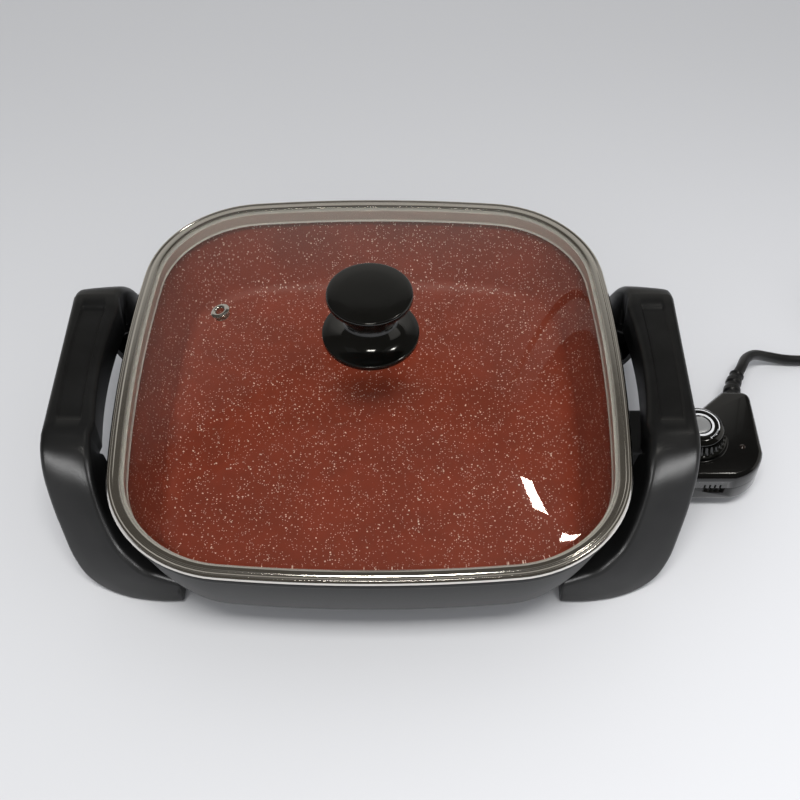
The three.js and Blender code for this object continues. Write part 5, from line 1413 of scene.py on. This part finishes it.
@dataclass
class Probe:
    """The plug-in heat control's housing, with its dial ring, slots, lens and screws."""

    above: float = 8.8
    below: float = 14.2
    parting: float = -2.7
    bevel: float = 2.4
    top_bevel: float = 3.6
    nose: float = 32.0
    neck: float = 4.0
    neck_step: float = 1.0
    nose_step_top: float = 2.5
    nose_step_bottom: float = 3.7
    shoulder: float = 15.0
    reach: float = 70.5
    front: float = -37.2
    rear: float = 32.5
    front_round: float = 20.0
    rear_round: float = 7.0
    cut_length: float = 19.0
    top_length: float = 11.0
    nose_half: float = 15.0
    dial: Point2 = (30.0, -7.0)
    ring_radius: float = 20.0
    ring_height: float = 1.0
    lens: Point2 = (58.0, -13.5)
    lens_radius: float = 2.3
    slot_first: float = 32.0
    slot_pitch: float = 3.2
    slots: int = 4
    slot_width: float = 1.1
    slot_half: float = 3.5
    slot_depth: float = 0.9
    boss_radius: float = 3.6
    sink_radius: float = 2.9
    sink_depth: float = 2.6
    origin: Vector = field(default_factory=lambda: Vector((GUARD_MOUTH_X, 0.0, TERMINAL_Z)))

    def outline(self) -> list[Point2]:
        """The housing's plan, anticlockwise."""
        fr, rr = self.front_round, self.rear_round
        front_corner = bow(
            (self.reach - fr, self.front), (self.reach - fr / 5, self.front + fr / 5),
            (self.reach, self.front + fr), 16,
        )
        rear_corner = bow(
            (self.reach, self.rear - rr), (self.reach, self.rear), (self.reach - rr, self.rear), 8,
        )
        cut_top = self.reach - rr - self.top_length
        return [
            (self.neck, -self.nose_half),
            (self.shoulder, self.front + fr / 4),
            *bow((self.shoulder, self.front + fr / 4), (self.shoulder + 0.4, self.front + 0.2),
                 (self.shoulder + fr / 4, self.front), 4)[1:],
            *front_corner,
            *rear_corner,
            (cut_top, self.rear),
            (cut_top - self.cut_length, self.nose_half),
            (self.neck, self.nose_half),
        ]

    @property
    def seat(self) -> Matrix:
        """The matrix from the probe's own frame to the pan's."""
        return Matrix.Translation(self.origin)

    def half(
        self, name: str, way: int, high: float, bevel: float, nose_step: float,
    ) -> list[bpy.types.Object]:
        """One half of the housing, its nose apart so that only one closed solid is cut.

        Args:
            name: The half's name.
            way: 1 for the upper half, -1 for the lower one.
            high: How far its closed face is from the probe's own origin.
            bevel: Width of the bevel round that face.
            nose_step: How much nearer the nose's face is.

        Returns:
            The half and its nose.
        """
        outline = self.outline()[::way]
        low = way * self.parting + SEAT / 2
        case, nose = Mould(), Mould()
        case.prism(outline, low, high, bevel)
        far = (self.neck + self.neck_step, self.nose_half, high - nose_step)
        nose.box((-self.nose, -self.nose_half, low), far)
        for mould in (case, nose):
            mould.move(self.seat @ Matrix.Diagonal((1, 1, way, 1)))
        return [
            mould.cast(called, [PROBE_PLASTIC], sharp=32.0)
            for mould, called in ((case, name), (nose, f"{name}_nose"))
        ]

    def build(self) -> None:
        """Makes the housing's two halves and what is on them."""
        self.build_top()
        self.build_bottom()
        self.build_lens()
        Dial(self.origin + Vector((*self.dial, self.above + self.ring_height + SEAT))).build()

    def build_top(self) -> None:
        """Makes the upper half with the ring that the dial turns in."""
        top, nose = self.half("probe_case_top", 1, self.above, self.top_bevel, self.nose_step_top)
        foot, high = self.above - 1.0, self.above + self.ring_height
        section = eased([
            (16.5, foot), (16.9, high - 0.5), (17.6, high), (self.ring_radius - 0.7, high),
            (self.ring_radius, high - 0.5), (self.ring_radius + 0.2, foot),
        ], 0.4, 3, closed=True)
        ring = Mould()
        ring.turn(section + section[:1], 72, self.seat @ Matrix.Translation((*self.dial, 0)))
        carve(top, [self.slot_tool(i) for i in range(self.slots)])
        join(top, [nose, ring.cast("probe_case_ring", [PROBE_PLASTIC], sharp=32.0)])
        settle(top, Body.PROBE, "probe_plastic", "probe_housing_top")

    def build_bottom(self) -> None:
        """Makes the lower half, turned over so that its bevel is underneath."""
        bottom, nose = self.half(
            "probe_case_bottom", -1, self.below, self.bevel, self.nose_step_bottom,
        )
        tools = [self.slot_tool(i) for i in range(self.slots)]
        tools += [self.screw_tool(place) for place in self.posts()]
        carve(bottom, tools)
        join(bottom, [nose])
        settle(bottom, Body.PROBE, "probe_plastic", "probe_housing_bottom")

    def posts(self) -> list[Point2]:
        """Where the case screws stand."""
        boss = self.boss_radius
        return [
            (self.shoulder + self.front_round / 4, self.front + self.rear_round),
            (self.reach - self.front_round / 2 - boss, self.front + self.front_round / 2),
            (self.reach - self.rear_round - boss, self.rear - 1.1 - boss),
        ]

    def slot_tool(self, index: int) -> bpy.types.Object:
        """A cutting block for one slot in the front face."""
        mould = Mould()
        x = self.slot_first + index * self.slot_pitch
        near = (x, self.front - 1.0, self.parting - self.slot_half)
        far = (x + self.slot_width, self.front + self.slot_depth, self.parting + self.slot_half)
        mould.box(near, far)
        mould.move(self.seat)
        return mould.cast(f"slot_tool_{index}", [PROBE_PLASTIC])

    def screw_tool(self, place: Point2) -> bpy.types.Object:
        """A cutting post for one sunk screw head."""
        mould = Mould()
        low, high = -self.below - 1.0, -self.below + self.sink_depth
        profile = [(0, low), (self.sink_radius, low), (self.sink_radius, high), (0, high)]
        mould.turn(profile, 32, Matrix.Translation((*place, 0)))
        mould.move(self.seat)
        return mould.cast("screw_tool", [PROBE_PLASTIC])

    def build_lens(self) -> None:
        """Makes the pilot lamp's lens."""
        mould = Mould()
        r, high = self.lens_radius, self.above + 0.7
        profile = [(0, high)] + arc((0, high - 2.2), 2.2, 88, 30, 8)
        profile = [(min(x * r / 2.0, r), z) for x, z in profile]
        profile += [(r, self.above), (r, high - 4.0), (0, high - 4.0)]
        mould.turn(profile, 40, Matrix.Translation(self.origin + Vector((*self.lens, 0))))
        lens = mould.cast("pilot_lens_dome", [TintedLens()], sharp=50.0)
        settle(lens, Body.PROBE, "amber", "pilot_lens")


@dataclass
class Dial:
    """The fluted dial with its silver disc and generic printed scale."""

    origin: Vector
    top_radius: float = 15.0
    base_radius: float = 18.4
    height: float = 12.5
    lift: float = 1.6
    skirt: float = 8.2
    flutes: int = 28
    flute_depth: float = 0.8
    per_flute: int = 8
    cap_radius: float = 6.6
    cap_thick: float = 1.2
    ticks: int = 9
    tick_start: float = -62.0
    tick_pitch: float = 5.2
    tick_half: float = 1.1
    # The print's height below and above the dial's top
    print_below: float = 0.05
    print_above: float = 0.06

    def ring(self, radius: float, depth: float, z: float) -> list[Vector]:
        """One ring of the body, its flutes cut by the depth."""
        count = self.flutes * self.per_flute
        made = []
        for i in range(count):
            angle = 2 * math.pi * i / count
            dip = 0.5 - 0.5 * math.cos(2 * math.pi * i / self.per_flute)
            r = radius - depth * dip ** 0.7
            made.append(self.origin + Vector((r * math.cos(angle), r * math.sin(angle), z)))
        return made

    def build(self) -> None:
        """Makes the dial's pieces."""
        body = Mould()
        top, base, cap = self.top_radius, self.base_radius, self.cap_radius
        high, lift, skirt, flute = self.height, self.lift, self.skirt, self.flute_depth
        body.solid([self.ring(r, d, z) for r, d, z in (
            (base - lift, 0, 0), (base - 0.25, 0, 0.1), (base, 0, 0.5), (base, 0, lift - 0.3),
            (base - 0.4, 0, lift), (base - lift + 0.2, 0, lift + 0.1),
            (base - lift, flute, lift + 0.5), (top + 0.7, flute, lift + skirt * 0.75),
            (top + 0.35, flute * 0.7, lift + skirt * 0.93), (top + 0.3, 0, lift + skirt),
            (top + 0.15, 0, high - 2.0), (top - 0.15, 0, high - 1.7), (top - 1.9, 0, high - 0.2),
            (top - 2.3, 0, high), (cap + 0.9, 0, high), (cap + 0.3, 0, high - 0.4),
            (cap + 0.3, 0, high - self.cap_thick),
        )])
        piece = body.cast("dial_body", [KNOB_PLASTIC], sharp=50.0)
        settle(piece, Body.DIAL, "probe_plastic", "dial_knob")
        self.build_cap()
        self.build_scale()

    def build_cap(self) -> None:
        """Makes the silver disc."""
        cap = Mould()
        r, low, high = self.cap_radius, self.height - self.cap_thick + SEAT, self.height + SEAT
        edge = eased([(r - 0.9, high), (r, high - 0.3), (r, low)], 0.4, 3)
        profile = [(0, high), (r * 0.5, high), *edge, (0, low)]
        cap.turn(profile, 64, Matrix.Translation(self.origin))
        middle = TO_ROW @ self.origin
        disc = TurnedDisc("dial_disc", (middle.x, middle.y))
        settle(cap.cast("dial_disc", [disc], sharp=50.0), Body.DIAL, "dial_metal", "dial_cap")

    def build_scale(self) -> None:
        """Makes the printed ring, the long arc and the ticks of the scale."""
        print_ = Mould()
        self.add_arc(print_, 7.5, 8.9, -180.0, 180.0, 72)
        self.add_arc(print_, 11.5, 12.2, -18.0, 250.0, 60)
        for i in range(self.ticks):
            middle = self.tick_start + i * self.tick_pitch
            outer = 12.3 if i % 4 == 0 else 11.7
            self.add_arc(print_, 10.9, outer, middle - self.tick_half, middle + self.tick_half, 2)
        scale = print_.cast("dial_scale", [WHITE_PRINT], sharp=50.0)
        settle(scale, Body.DIAL, "dial_metal")

    def add_arc(
        self, mould: Mould, inner: float, outer: float, start: float, end: float, steps: int,
    ) -> None:
        """Adds one printed arc.

        Args:
            mould: The print so far.
            inner: Its inner radius.
            outer: Its outer radius.
            start: First angle, in degrees.
            end: Last angle, in degrees.
            steps: Number of chords.
        """
        low, high = self.height - self.print_below, self.height + self.print_above
        section = [(inner, low), (outer, low), (outer, high), (inner, high)]
        rings = []
        whole = abs(end - start) >= 359.9
        for i in range(steps + (0 if whole else 1)):
            a = math.radians(start + (end - start) * i / steps)
            c, s = math.cos(a), math.sin(a)
            rings.append([self.origin + Vector((r * c, r * s, z)) for r, z in section])
        if whole:
            mould.band(rings)
        else:
            mould.solid(rings)


@dataclass
class Lead:
    """The strain relief, the lead with its stored coil, the tie and the plug."""

    radius: float = 3.5
    relief_radius: float = 6.2
    tip_radius: float = 4.8
    relief_length: float = 23.0
    relief_side: float = 7.0
    ribs: int = 3
    coil_middle: Point2 = (365.0, 132.1)
    coil_mean: float = 38.5
    pitch: float = 7.6
    per_layer: int = 2
    lift: float = 1.6
    tail: float = 38.0
    start_y: float = 32.8
    relief_x: float = 234.0
    relief_z: float = 23.2
    plug_length: float = 36.0
    plug_half: float = 13.0
    rest_lift: float = 0.1
    relief_steps: int = 46
    free_steps: int = 34
    turn_steps: int = 36
    tie_thick: float = 0.8
    tie_clear: float = 0.8
    tie_width: float = 8.0
    plug_steps: int = 48
    # Below 1 the plug's section is squarer than an ellipse
    plug_power: float = 0.6

    # The fall to the table: shares of the way out, the way aside and the tip's height
    fall = (
        (0.085, 0.603, 0.786), (0.154, 0.851, 0.556), (0.248, 0.974, 0.25), (0.359, 1, 0.051),
        (0.487, 1, 0), (0.658, 1, 0), (0.829, 1, 0.041),
    )
    # The plug's shape: shares of its length, half width and half height
    plug_shares = (
        (0.0, 0.34, 0.36), (0.02, 0.36, 0.38), (0.13, 0.40, 0.42), (0.15, 0.36, 0.38),
        (0.19, 0.37, 0.39), (0.21, 0.42, 0.44), (0.28, 0.43, 0.45), (0.31, 0.52, 0.53),
        (0.35, 0.64, 0.63), (0.42, 0.75, 0.73), (0.5, 0.86, 0.84), (0.58, 0.96, 0.95),
        (0.63, 1.0, 1.0), (0.93, 1.0, 1.0), (0.97, 0.985, 0.98), (1.0, 0.93, 0.92),
    )

    @property
    def outer(self) -> float:
        """Radius of the coil's outermost turn."""
        return self.coil_mean + self.pitch * self.per_layer / 2

    def relief_line(self, share: float) -> tuple[Vector, Vector]:
        """A place on the relief's middle line and the direction there."""
        a = Vector((self.relief_x, self.start_y, self.relief_z))
        b = a + Vector((0, self.relief_length / 2, 0))
        c = a + Vector((self.relief_side, self.relief_length, 0))
        point = a * (1 - share) ** 2 + b * 2 * share * (1 - share) + c * share * share
        return point, ((b - a) * (1 - share) + (c - b) * share).normalized()

    def coil_point(self, turn: float) -> Vector:
        """A place on the coil after that many turns."""
        total = 2 * self.per_layer
        radius = self.outer - self.pitch * min(turn, total - turn)
        climb = smoothstep(turn, self.per_layer - 0.25, self.per_layer + 0.25)
        angle = 2 * math.pi * turn - math.pi / 2
        return Vector((
            self.coil_middle[0] + radius * math.cos(angle),
            self.coil_middle[1] + radius * math.sin(angle),
            self.lift + self.radius + self.pitch * climb,
        ))

    def route(self) -> list[Vector]:
        """The lead's middle line, from the relief to the plug."""
        tip, along = self.relief_line(1.0)
        straight = Vector((2 * self.radius, 0, 0))
        start = self.coil_point(0.0) - straight
        lowest = self.radius + self.rest_lift
        fall = [
            (tip.x + (start.x - tip.x) * away, tip.y + (start.y - tip.y) * aside,
             lowest + (tip.z - lowest) * high)
            for away, aside, high in self.fall
        ]
        bends = [tip, tip + along * straight.length, *fall, start - straight]
        free = Route(bends).spread(self.free_steps)
        steps = 2 * self.per_layer * self.turn_steps
        coil = [self.coil_point(2 * self.per_layer * i / steps) for i in range(steps + 1)]
        end = coil[-1]
        tail = [end + Vector((self.tail * s + 7.3, 0, 0)) for s in (0.0, 0.33, 0.66, 1.0)]
        return free + coil + tail

    def build(self) -> None:
        route = [TO_ROW @ p for p in self.route()]
        curve = bpy.data.curves.new("lead_line", "CURVE")
        curve.dimensions = "3D"
        curve.bevel_depth = self.radius * MM
        curve.bevel_resolution = 5
        curve.use_fill_caps = True
        spline = curve.splines.new("POLY")
        spline.points.add(len(route) - 1)
        for point, place in zip(spline.points, route):
            point.co = (*place, 1.0)
        curve.materials.append(SHELF.get(CORD_RUBBER))
        spline.use_smooth = True
        lead = add_object("mains_lead", curve)
        settle(lead, Body.PROBE, "cord_rubber", "cord_lead", "cord_coil", "cord_tail")
        relief = self.build_relief()
        tie = self.build_tie()
        plug = self.build_plug()
        length = sum((b - a).length for a, b in zip(route, route[1:]))
        log.info("the lead is %.3f m long", length)
        tuple(route[0])

    def build_relief(self) -> bpy.types.Object:
        """Makes the ribbed strain relief, bent as the lead pulls it."""
        steps = self.relief_steps
        mould = Mould()
        rings = []
        for i in range(steps + 1):
            share = i / steps
            middle, along = self.relief_line(share)
            side = Vector((along.y, -along.x, 0)).normalized()
            up = side.cross(along).normalized()
            taper = self.relief_radius + (self.tip_radius - self.relief_radius) * share
            wave = smoothstep(math.sin(2 * math.pi * (share * self.ribs + 0.1)), -0.55, 0.35)
            groove = 1 - wave if 0.06 < share < 0.94 else 0.0
            radius = taper - groove - (0.5 if i in (0, steps) else 0.0)
            ring = arc((0, 0), radius, 0, 360, 32)[:-1]
            rings.append([middle + side * x + up * y for x, y in ring])
        mould.solid(rings)
        piece = mould.cast("lead_relief", [CORD_RUBBER], sharp=70.0)
        return settle(piece, Body.PROBE, "cord_rubber", "strain_relief")

    def build_tie(self) -> bpy.types.Object:
        """Makes the flat strap round the coil."""
        thick, clear = self.tie_thick, self.tie_clear
        radii = [
            math.hypot(p.x - self.coil_middle[0], p.y - self.coil_middle[1])
            for p in (self.coil_point(0.5), self.coil_point(self.per_layer - 0.5))
        ]
        room = self.radius + clear
        near, far = min(radii) - room - thick, max(radii) + room + thick
        low = self.lift - clear - thick
        high = self.lift + 2 * self.radius + self.pitch + clear + thick
        mould = Mould()

        def hoop(inward: float, x: float) -> list[Vector]:
            box = [(near + inward, low + inward), (far - inward, low + inward),
                   (far - inward, high - inward), (near + inward, high - inward)]
            return [
                Vector((self.coil_middle[0] + x, self.coil_middle[1] + y, z))
                for y, z in eased(box, 2.6 - inward, 5, closed=True)
            ]

        half = self.tie_width / 2
        mould.band([hoop(i, x) for i, x in (
            (0.0, -half + 0.2), (0.0, half - 0.2), (0.25, half), (thick - 0.25, half),
            (thick, half - 0.2), (thick, -half + 0.2), (thick - 0.25, -half), (0.25, -half),
        )])
        strap = mould.cast("coil_strap", [TIE_PLASTIC], sharp=50.0)
        return settle(strap, Body.PROBE, "tie_plastic", "cord_tie")

    def build_plug(self) -> bpy.types.Object:
        """Makes the plug's moulded body."""
        end = self.coil_point(2 * self.per_layer) + Vector((self.tail + 7.6, 0, 0))
        section = []
        for i in range(self.plug_steps):
            angle = 2 * math.pi * i / self.plug_steps
            section.append(tuple(
                math.copysign(abs(part) ** self.plug_power, part)
                for part in (math.cos(angle), math.sin(angle))
            ))
        mould = Mould()
        mould.solid([
            [
                end + Vector((
                    self.plug_length * along, self.plug_half * wide * y, end.z * high * z,
                ))
                for y, z in section
            ]
            for along, wide, high in self.plug_shares
        ])
        plug = mould.cast("plug_moulding", [CORD_RUBBER], sharp=50.0)
        return settle(plug, Body.PROBE, "plug_plastic", "plug_body")


@dataclass
class PackedPieces:
    """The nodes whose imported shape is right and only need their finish."""

    finishes: dict[str, object] = field(default_factory=lambda: {
        "heating_element": ELEMENT_STEEL,
        "terminal_pin": PLAIN_STEEL,
        "terminal_insulator": CERAMIC,
        "probe_guard": GUARD_ENAMEL,
        "guard_screw": PLAIN_STEEL,
        "foot_pad": PAD_RUBBER,
        "handle_screw": PLAIN_STEEL,
        "knob_insert": PLAIN_BRASS,
        "knob_gasket": SILICONE,
        "knob_washer": PLAIN_STEEL,
        "knob_screw": PLAIN_STEEL,
        "housing_screw": PLAIN_STEEL,
        "sensor_rod": PLAIN_STEEL,
        "contact_sleeve": PLAIN_BRASS,
        "thermostat_frame": PLAIN_STEEL,
        "contact_blade": PLAIN_BRASS,
        "dial_shaft": PLAIN_STEEL,
        "plug_pin": PLAIN_BRASS,
    })

    def dress(self) -> None:
        """Gives each node its finish."""
        for piece in list(bpy.data.objects):
            if piece.type != "MESH" or piece.name not in frame["nodes"]:
                continue
            for start, finish in self.finishes.items():
                if piece.name.startswith(start):
                    self.paint(piece, SHELF.get(finish))

    def paint(self, piece: bpy.types.Object, material: bpy.types.Material) -> None:
        """Gives all of a piece one material."""
        if piece.material_slots:
            for slot in piece.material_slots:
                slot.material = material
        else:
            piece.data.materials.append(material)
        log.info("%s gets %s", piece.name, material.name)


@dataclass(frozen=True)
class SoftLamp:
    """A rectangular lamp, in metres and watts."""

    name: str
    place: Point3
    aim: Point3
    size: Point2
    power: float


@dataclass
class Studio:
    """The camera, the pale floor and the soft light."""

    eye: Point3 = (-0.00725, -0.481, 0.639)
    azimuth: float = math.radians(-0.4)
    elevation: float = math.radians(50.1)
    roll: float = math.radians(-0.3)
    lens: float = 55.08
    sensor: float = 36.0
    floor_size: float = 4.0
    # Share of the table's colour at its back: painted shade
    floor_painted_shade: float = 0.78
    floor_roughness: float = 0.55
    even_colour: Colour = (0.93, 0.95, 1.0)
    even_strength: float = 0.55
    mirrored_colour: Colour = (1.0, 0.92, 0.80)
    mirrored_strength: float = 0.07
    floor_colour: Colour = (0.68, 0.68, 0.685)
    # Colour that the table reaches towards the right: painted light
    floor_painted_light: Colour = (0.82, 0.82, 0.83)
    floor_bounce: Colour = (0.3, 0.3, 0.3)
    card_colour: Colour = (1.0, 0.97, 0.90)
    board_y: float = 1.5
    board_height: float = 1.8
    fade_start: float = 1.2
    key = SoftLamp("key", (0.0, -0.75, 2.06), (0.0, 0.0, 0.0), (1.0, 0.35), 32.0)
    fill = SoftLamp("front_fill", (-0.6, -1.6, 1.5), (0.0, 0.0, 0.1), (1.2, 0.9), 3.0)
    # Lamps that light the handles alone, for the sheen where they bend
    sheens = (
        SoftLamp("right_sheen", (0.95, -1.4, 0.72), (0.0, -0.05, 0.08), (1.0, 0.5), 30.0),
        SoftLamp("left_sheen", (-0.95, -1.4, 0.72), (0.0, -0.05, 0.08), (1.0, 0.4), 24.0),
    )
    side_board = ((1.9, 1.3, 0.0), (2.2, -0.4, 0.0), (2.2, -0.4, 1.6), (1.9, 1.3, 1.6))
    strip_lamp = (
        (0.83, 0.504, 2.078),
        (0.911, 0.516, 2.041),
        (0.904, 0.307, 2.093),
        (0.814, 0.271, 2.135),
    )

    def build(self) -> None:
        """Makes the camera, floor, lamps and world."""
        self.build_camera()
        self.build_floor()
        self.build_lamps()
        self.build_world()

    def build_camera(self) -> None:
        """Stands the camera where the photograph was taken."""
        ahead = Vector((
            math.sin(self.azimuth) * math.cos(self.elevation),
            math.cos(self.azimuth) * math.cos(self.elevation),
            -math.sin(self.elevation),
        ))
        right = ahead.cross(Vector((0, 0, 1))).normalized()
        up = right.cross(ahead).normalized()
        c, s = math.cos(self.roll), math.sin(self.roll)
        side, top = right * c + up * s, up * c - right * s
        turn = Matrix((side, top, -ahead)).transposed().to_4x4()
        data = bpy.data.cameras.new("camera")
        data.lens = self.lens
        data.sensor_width = self.sensor
        data.clip_start = 0.02
        data.clip_end = 20.0
        camera = add_object("camera", data)
        camera.matrix_world = Matrix.Translation(self.eye) @ turn
        bpy.context.scene.camera = camera

    def build_floor(self) -> None:
        """Lays the pale table, its colour carrying painted light towards the right and the front
        and painted shade towards the back.
        """
        table = bmesh.new()
        bmesh.ops.create_grid(table, x_segments=1, y_segments=1, size=self.floor_size)
        mesh = made_mesh("table_top", table)
        paint = Paint("pale_table")
        cloud = paint.noise(paint.place(), 3.0, 2.0, 0.5) * 0.1
        x, y, _ = paint.split(paint.place())
        # Painted light and shade: brighter to the right and the front, darker towards the back,
        # then random clouds
        near = paint.blend(x.rise(-0.35, 0.35), self.floor_colour, self.floor_painted_light)
        far = tuple(c * self.floor_painted_shade for c in self.floor_colour)
        tint = paint.blend(y.rise(0.55, -0.25), far, near)
        tint = paint.blend(cloud, tint, self.floor_colour)
        bounced = paint.node("ShaderNodeLightPath", output="Is Diffuse Ray")
        seen = paint.blend(bounced, tint, self.floor_bounce)
        shell = paint.shell(Base_Color=seen, Roughness=self.floor_roughness)
        mesh.materials.append(paint.finish(shell))
        add_object("table_top", mesh)

    def add_lamp(self, soft: SoftLamp) -> bpy.types.Object:
        """Hangs a lamp that nothing mirrors."""
        data = bpy.data.lights.new(soft.name, "AREA")
        data.shape = "RECTANGLE"
        data.size, data.size_y = soft.size
        data.energy = soft.power
        lamp = add_object(soft.name, data)
        lamp.visible_glossy = False
        lamp.visible_transmission = False
        away = Vector(soft.place) - Vector(soft.aim)
        turn = away.to_track_quat("Z", "Y").to_matrix().to_4x4()
        lamp.matrix_world = Matrix.Translation(soft.place) @ turn
        return lamp

    def build_sheens(self) -> None:
        """Hangs the lamps that light the handles alone, once the handles are there."""
        for sheen in self.sheens:
            lamp = self.add_lamp(sheen)
            lamp.visible_glossy = True
            handles = bpy.data.collections.new(f"{sheen.name}_on")
            for piece in bpy.data.objects:
                if piece.name.startswith("handle_") and piece.name.endswith("_moulding"):
                    handles.objects.link(piece)
            lamp.light_linking.receiver_collection = handles

    def build_lamps(self) -> None:
        """Hangs the lamps and the cards that shiny pieces mirror."""
        self.add_lamp(self.key)
        self.add_lamp(self.fill)
        for name, corners, strength in (
            ("key_glow", self.facing(self.key.place, (0.5, 0.16)), 26.0),
            ("ceiling_glow", self.facing((0.0, 0.15, 2.2), (2.6, 0.9)), 0.3),
            ("board", self.upright(-2.6, 1.07), 0.4),
            ("board_edge", self.upright(1.10, 1.21), 0.4),
            ("side_board", self.side_board, 0.46),
            ("strip_lamp", self.strip_lamp, 34.0),
        ):
            self.add_card(name, corners, strength)

    def facing(self, place: Sequence[float], size: Point2) -> list[Vector]:
        """Corners of a rectangle at a place that looks at the skillet."""
        turn = Vector(place).to_track_quat("Z", "Y").to_matrix()
        return [
            Vector(place) + turn @ Vector((x * size[0] / 2, y * size[1] / 2, 0.0))
            for x, y in ((-1, -1), (1, -1), (1, 1), (-1, 1))
        ]

    def upright(self, left: float, right: float) -> list[Vector]:
        """Corners of a board that stands behind the skillet."""
        high = self.board_height
        corners = ((left, 0.0), (right, 0.0), (right, high), (left, high))
        return [Vector((x, self.board_y, z)) for x, z in corners]

    def add_card(self, name: str, corners: Sequence[Sequence[float]], strength: float) -> None:
        """Stands a glowing card that only mirror-like rays see.

        Args:
            name: Its name.
            corners: Its corners, in metres.
            strength: How brightly it glows.
        """
        card = bmesh.new()
        bmesh.ops.contextual_create(card, geom=[card.verts.new(corner) for corner in corners])
        mesh = made_mesh(name, card)
        paint = Paint(f"{name}_glow")
        high = paint.split(paint.place())[2].rise(self.fade_start, self.board_height)
        shade = tuple(c * 0.4 for c in self.card_colour) if strength < 1.0 else self.card_colour
        glow = paint.shell(
            Base_Color=(0.0, 0.0, 0.0),
            Emission_Color=paint.blend(high, self.card_colour, shade),
            Emission_Strength=strength,
        )
        mesh.materials.append(paint.finish(glow))
        piece = add_object(name, mesh)
        for seen_by in ("camera", "diffuse", "transmission", "shadow", "volume_scatter"):
            setattr(piece, f"visible_{seen_by}", False)

    def build_world(self) -> None:
        """Fills the room with even light, dimmer where it is mirrored."""
        world = bpy.data.worlds.new("room")
        world.use_nodes = True
        tree = world.node_tree
        even = tree.nodes["Background"]
        dim = tree.nodes.new("ShaderNodeBackground")
        for node, colour, strength in (
            (even, self.even_colour, self.even_strength),
            (dim, self.mirrored_colour, self.mirrored_strength),
        ):
            node.inputs["Color"].default_value = (*colour, 1.0)
            node.inputs["Strength"].default_value = strength
        path = tree.nodes.new("ShaderNodeLightPath")
        mix = tree.nodes.new("ShaderNodeMixShader")
        tree.links.new(path.outputs["Is Glossy Ray"], mix.inputs[0])
        tree.links.new(even.outputs[0], mix.inputs[1])
        tree.links.new(dim.outputs[0], mix.inputs[2])
        tree.links.new(mix.outputs[0], tree.nodes["World Output"].inputs["Surface"])
        bpy.context.scene.world = world
        bpy.context.scene.view_settings.view_transform = "Standard"


def main() -> None:
    """Builds the scene in order."""
    logging.basicConfig(level=logging.INFO, format="%(message)s")
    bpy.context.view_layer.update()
    studio = Studio()
    studio.build()
    Lead().build()
    PanDish().build()
    for side in Side:
        Handle(side).build()
    Lid().build()
    Probe().build()
    PackedPieces().dress()
    studio.build_sheens()


if __name__ == "__main__":
    main()
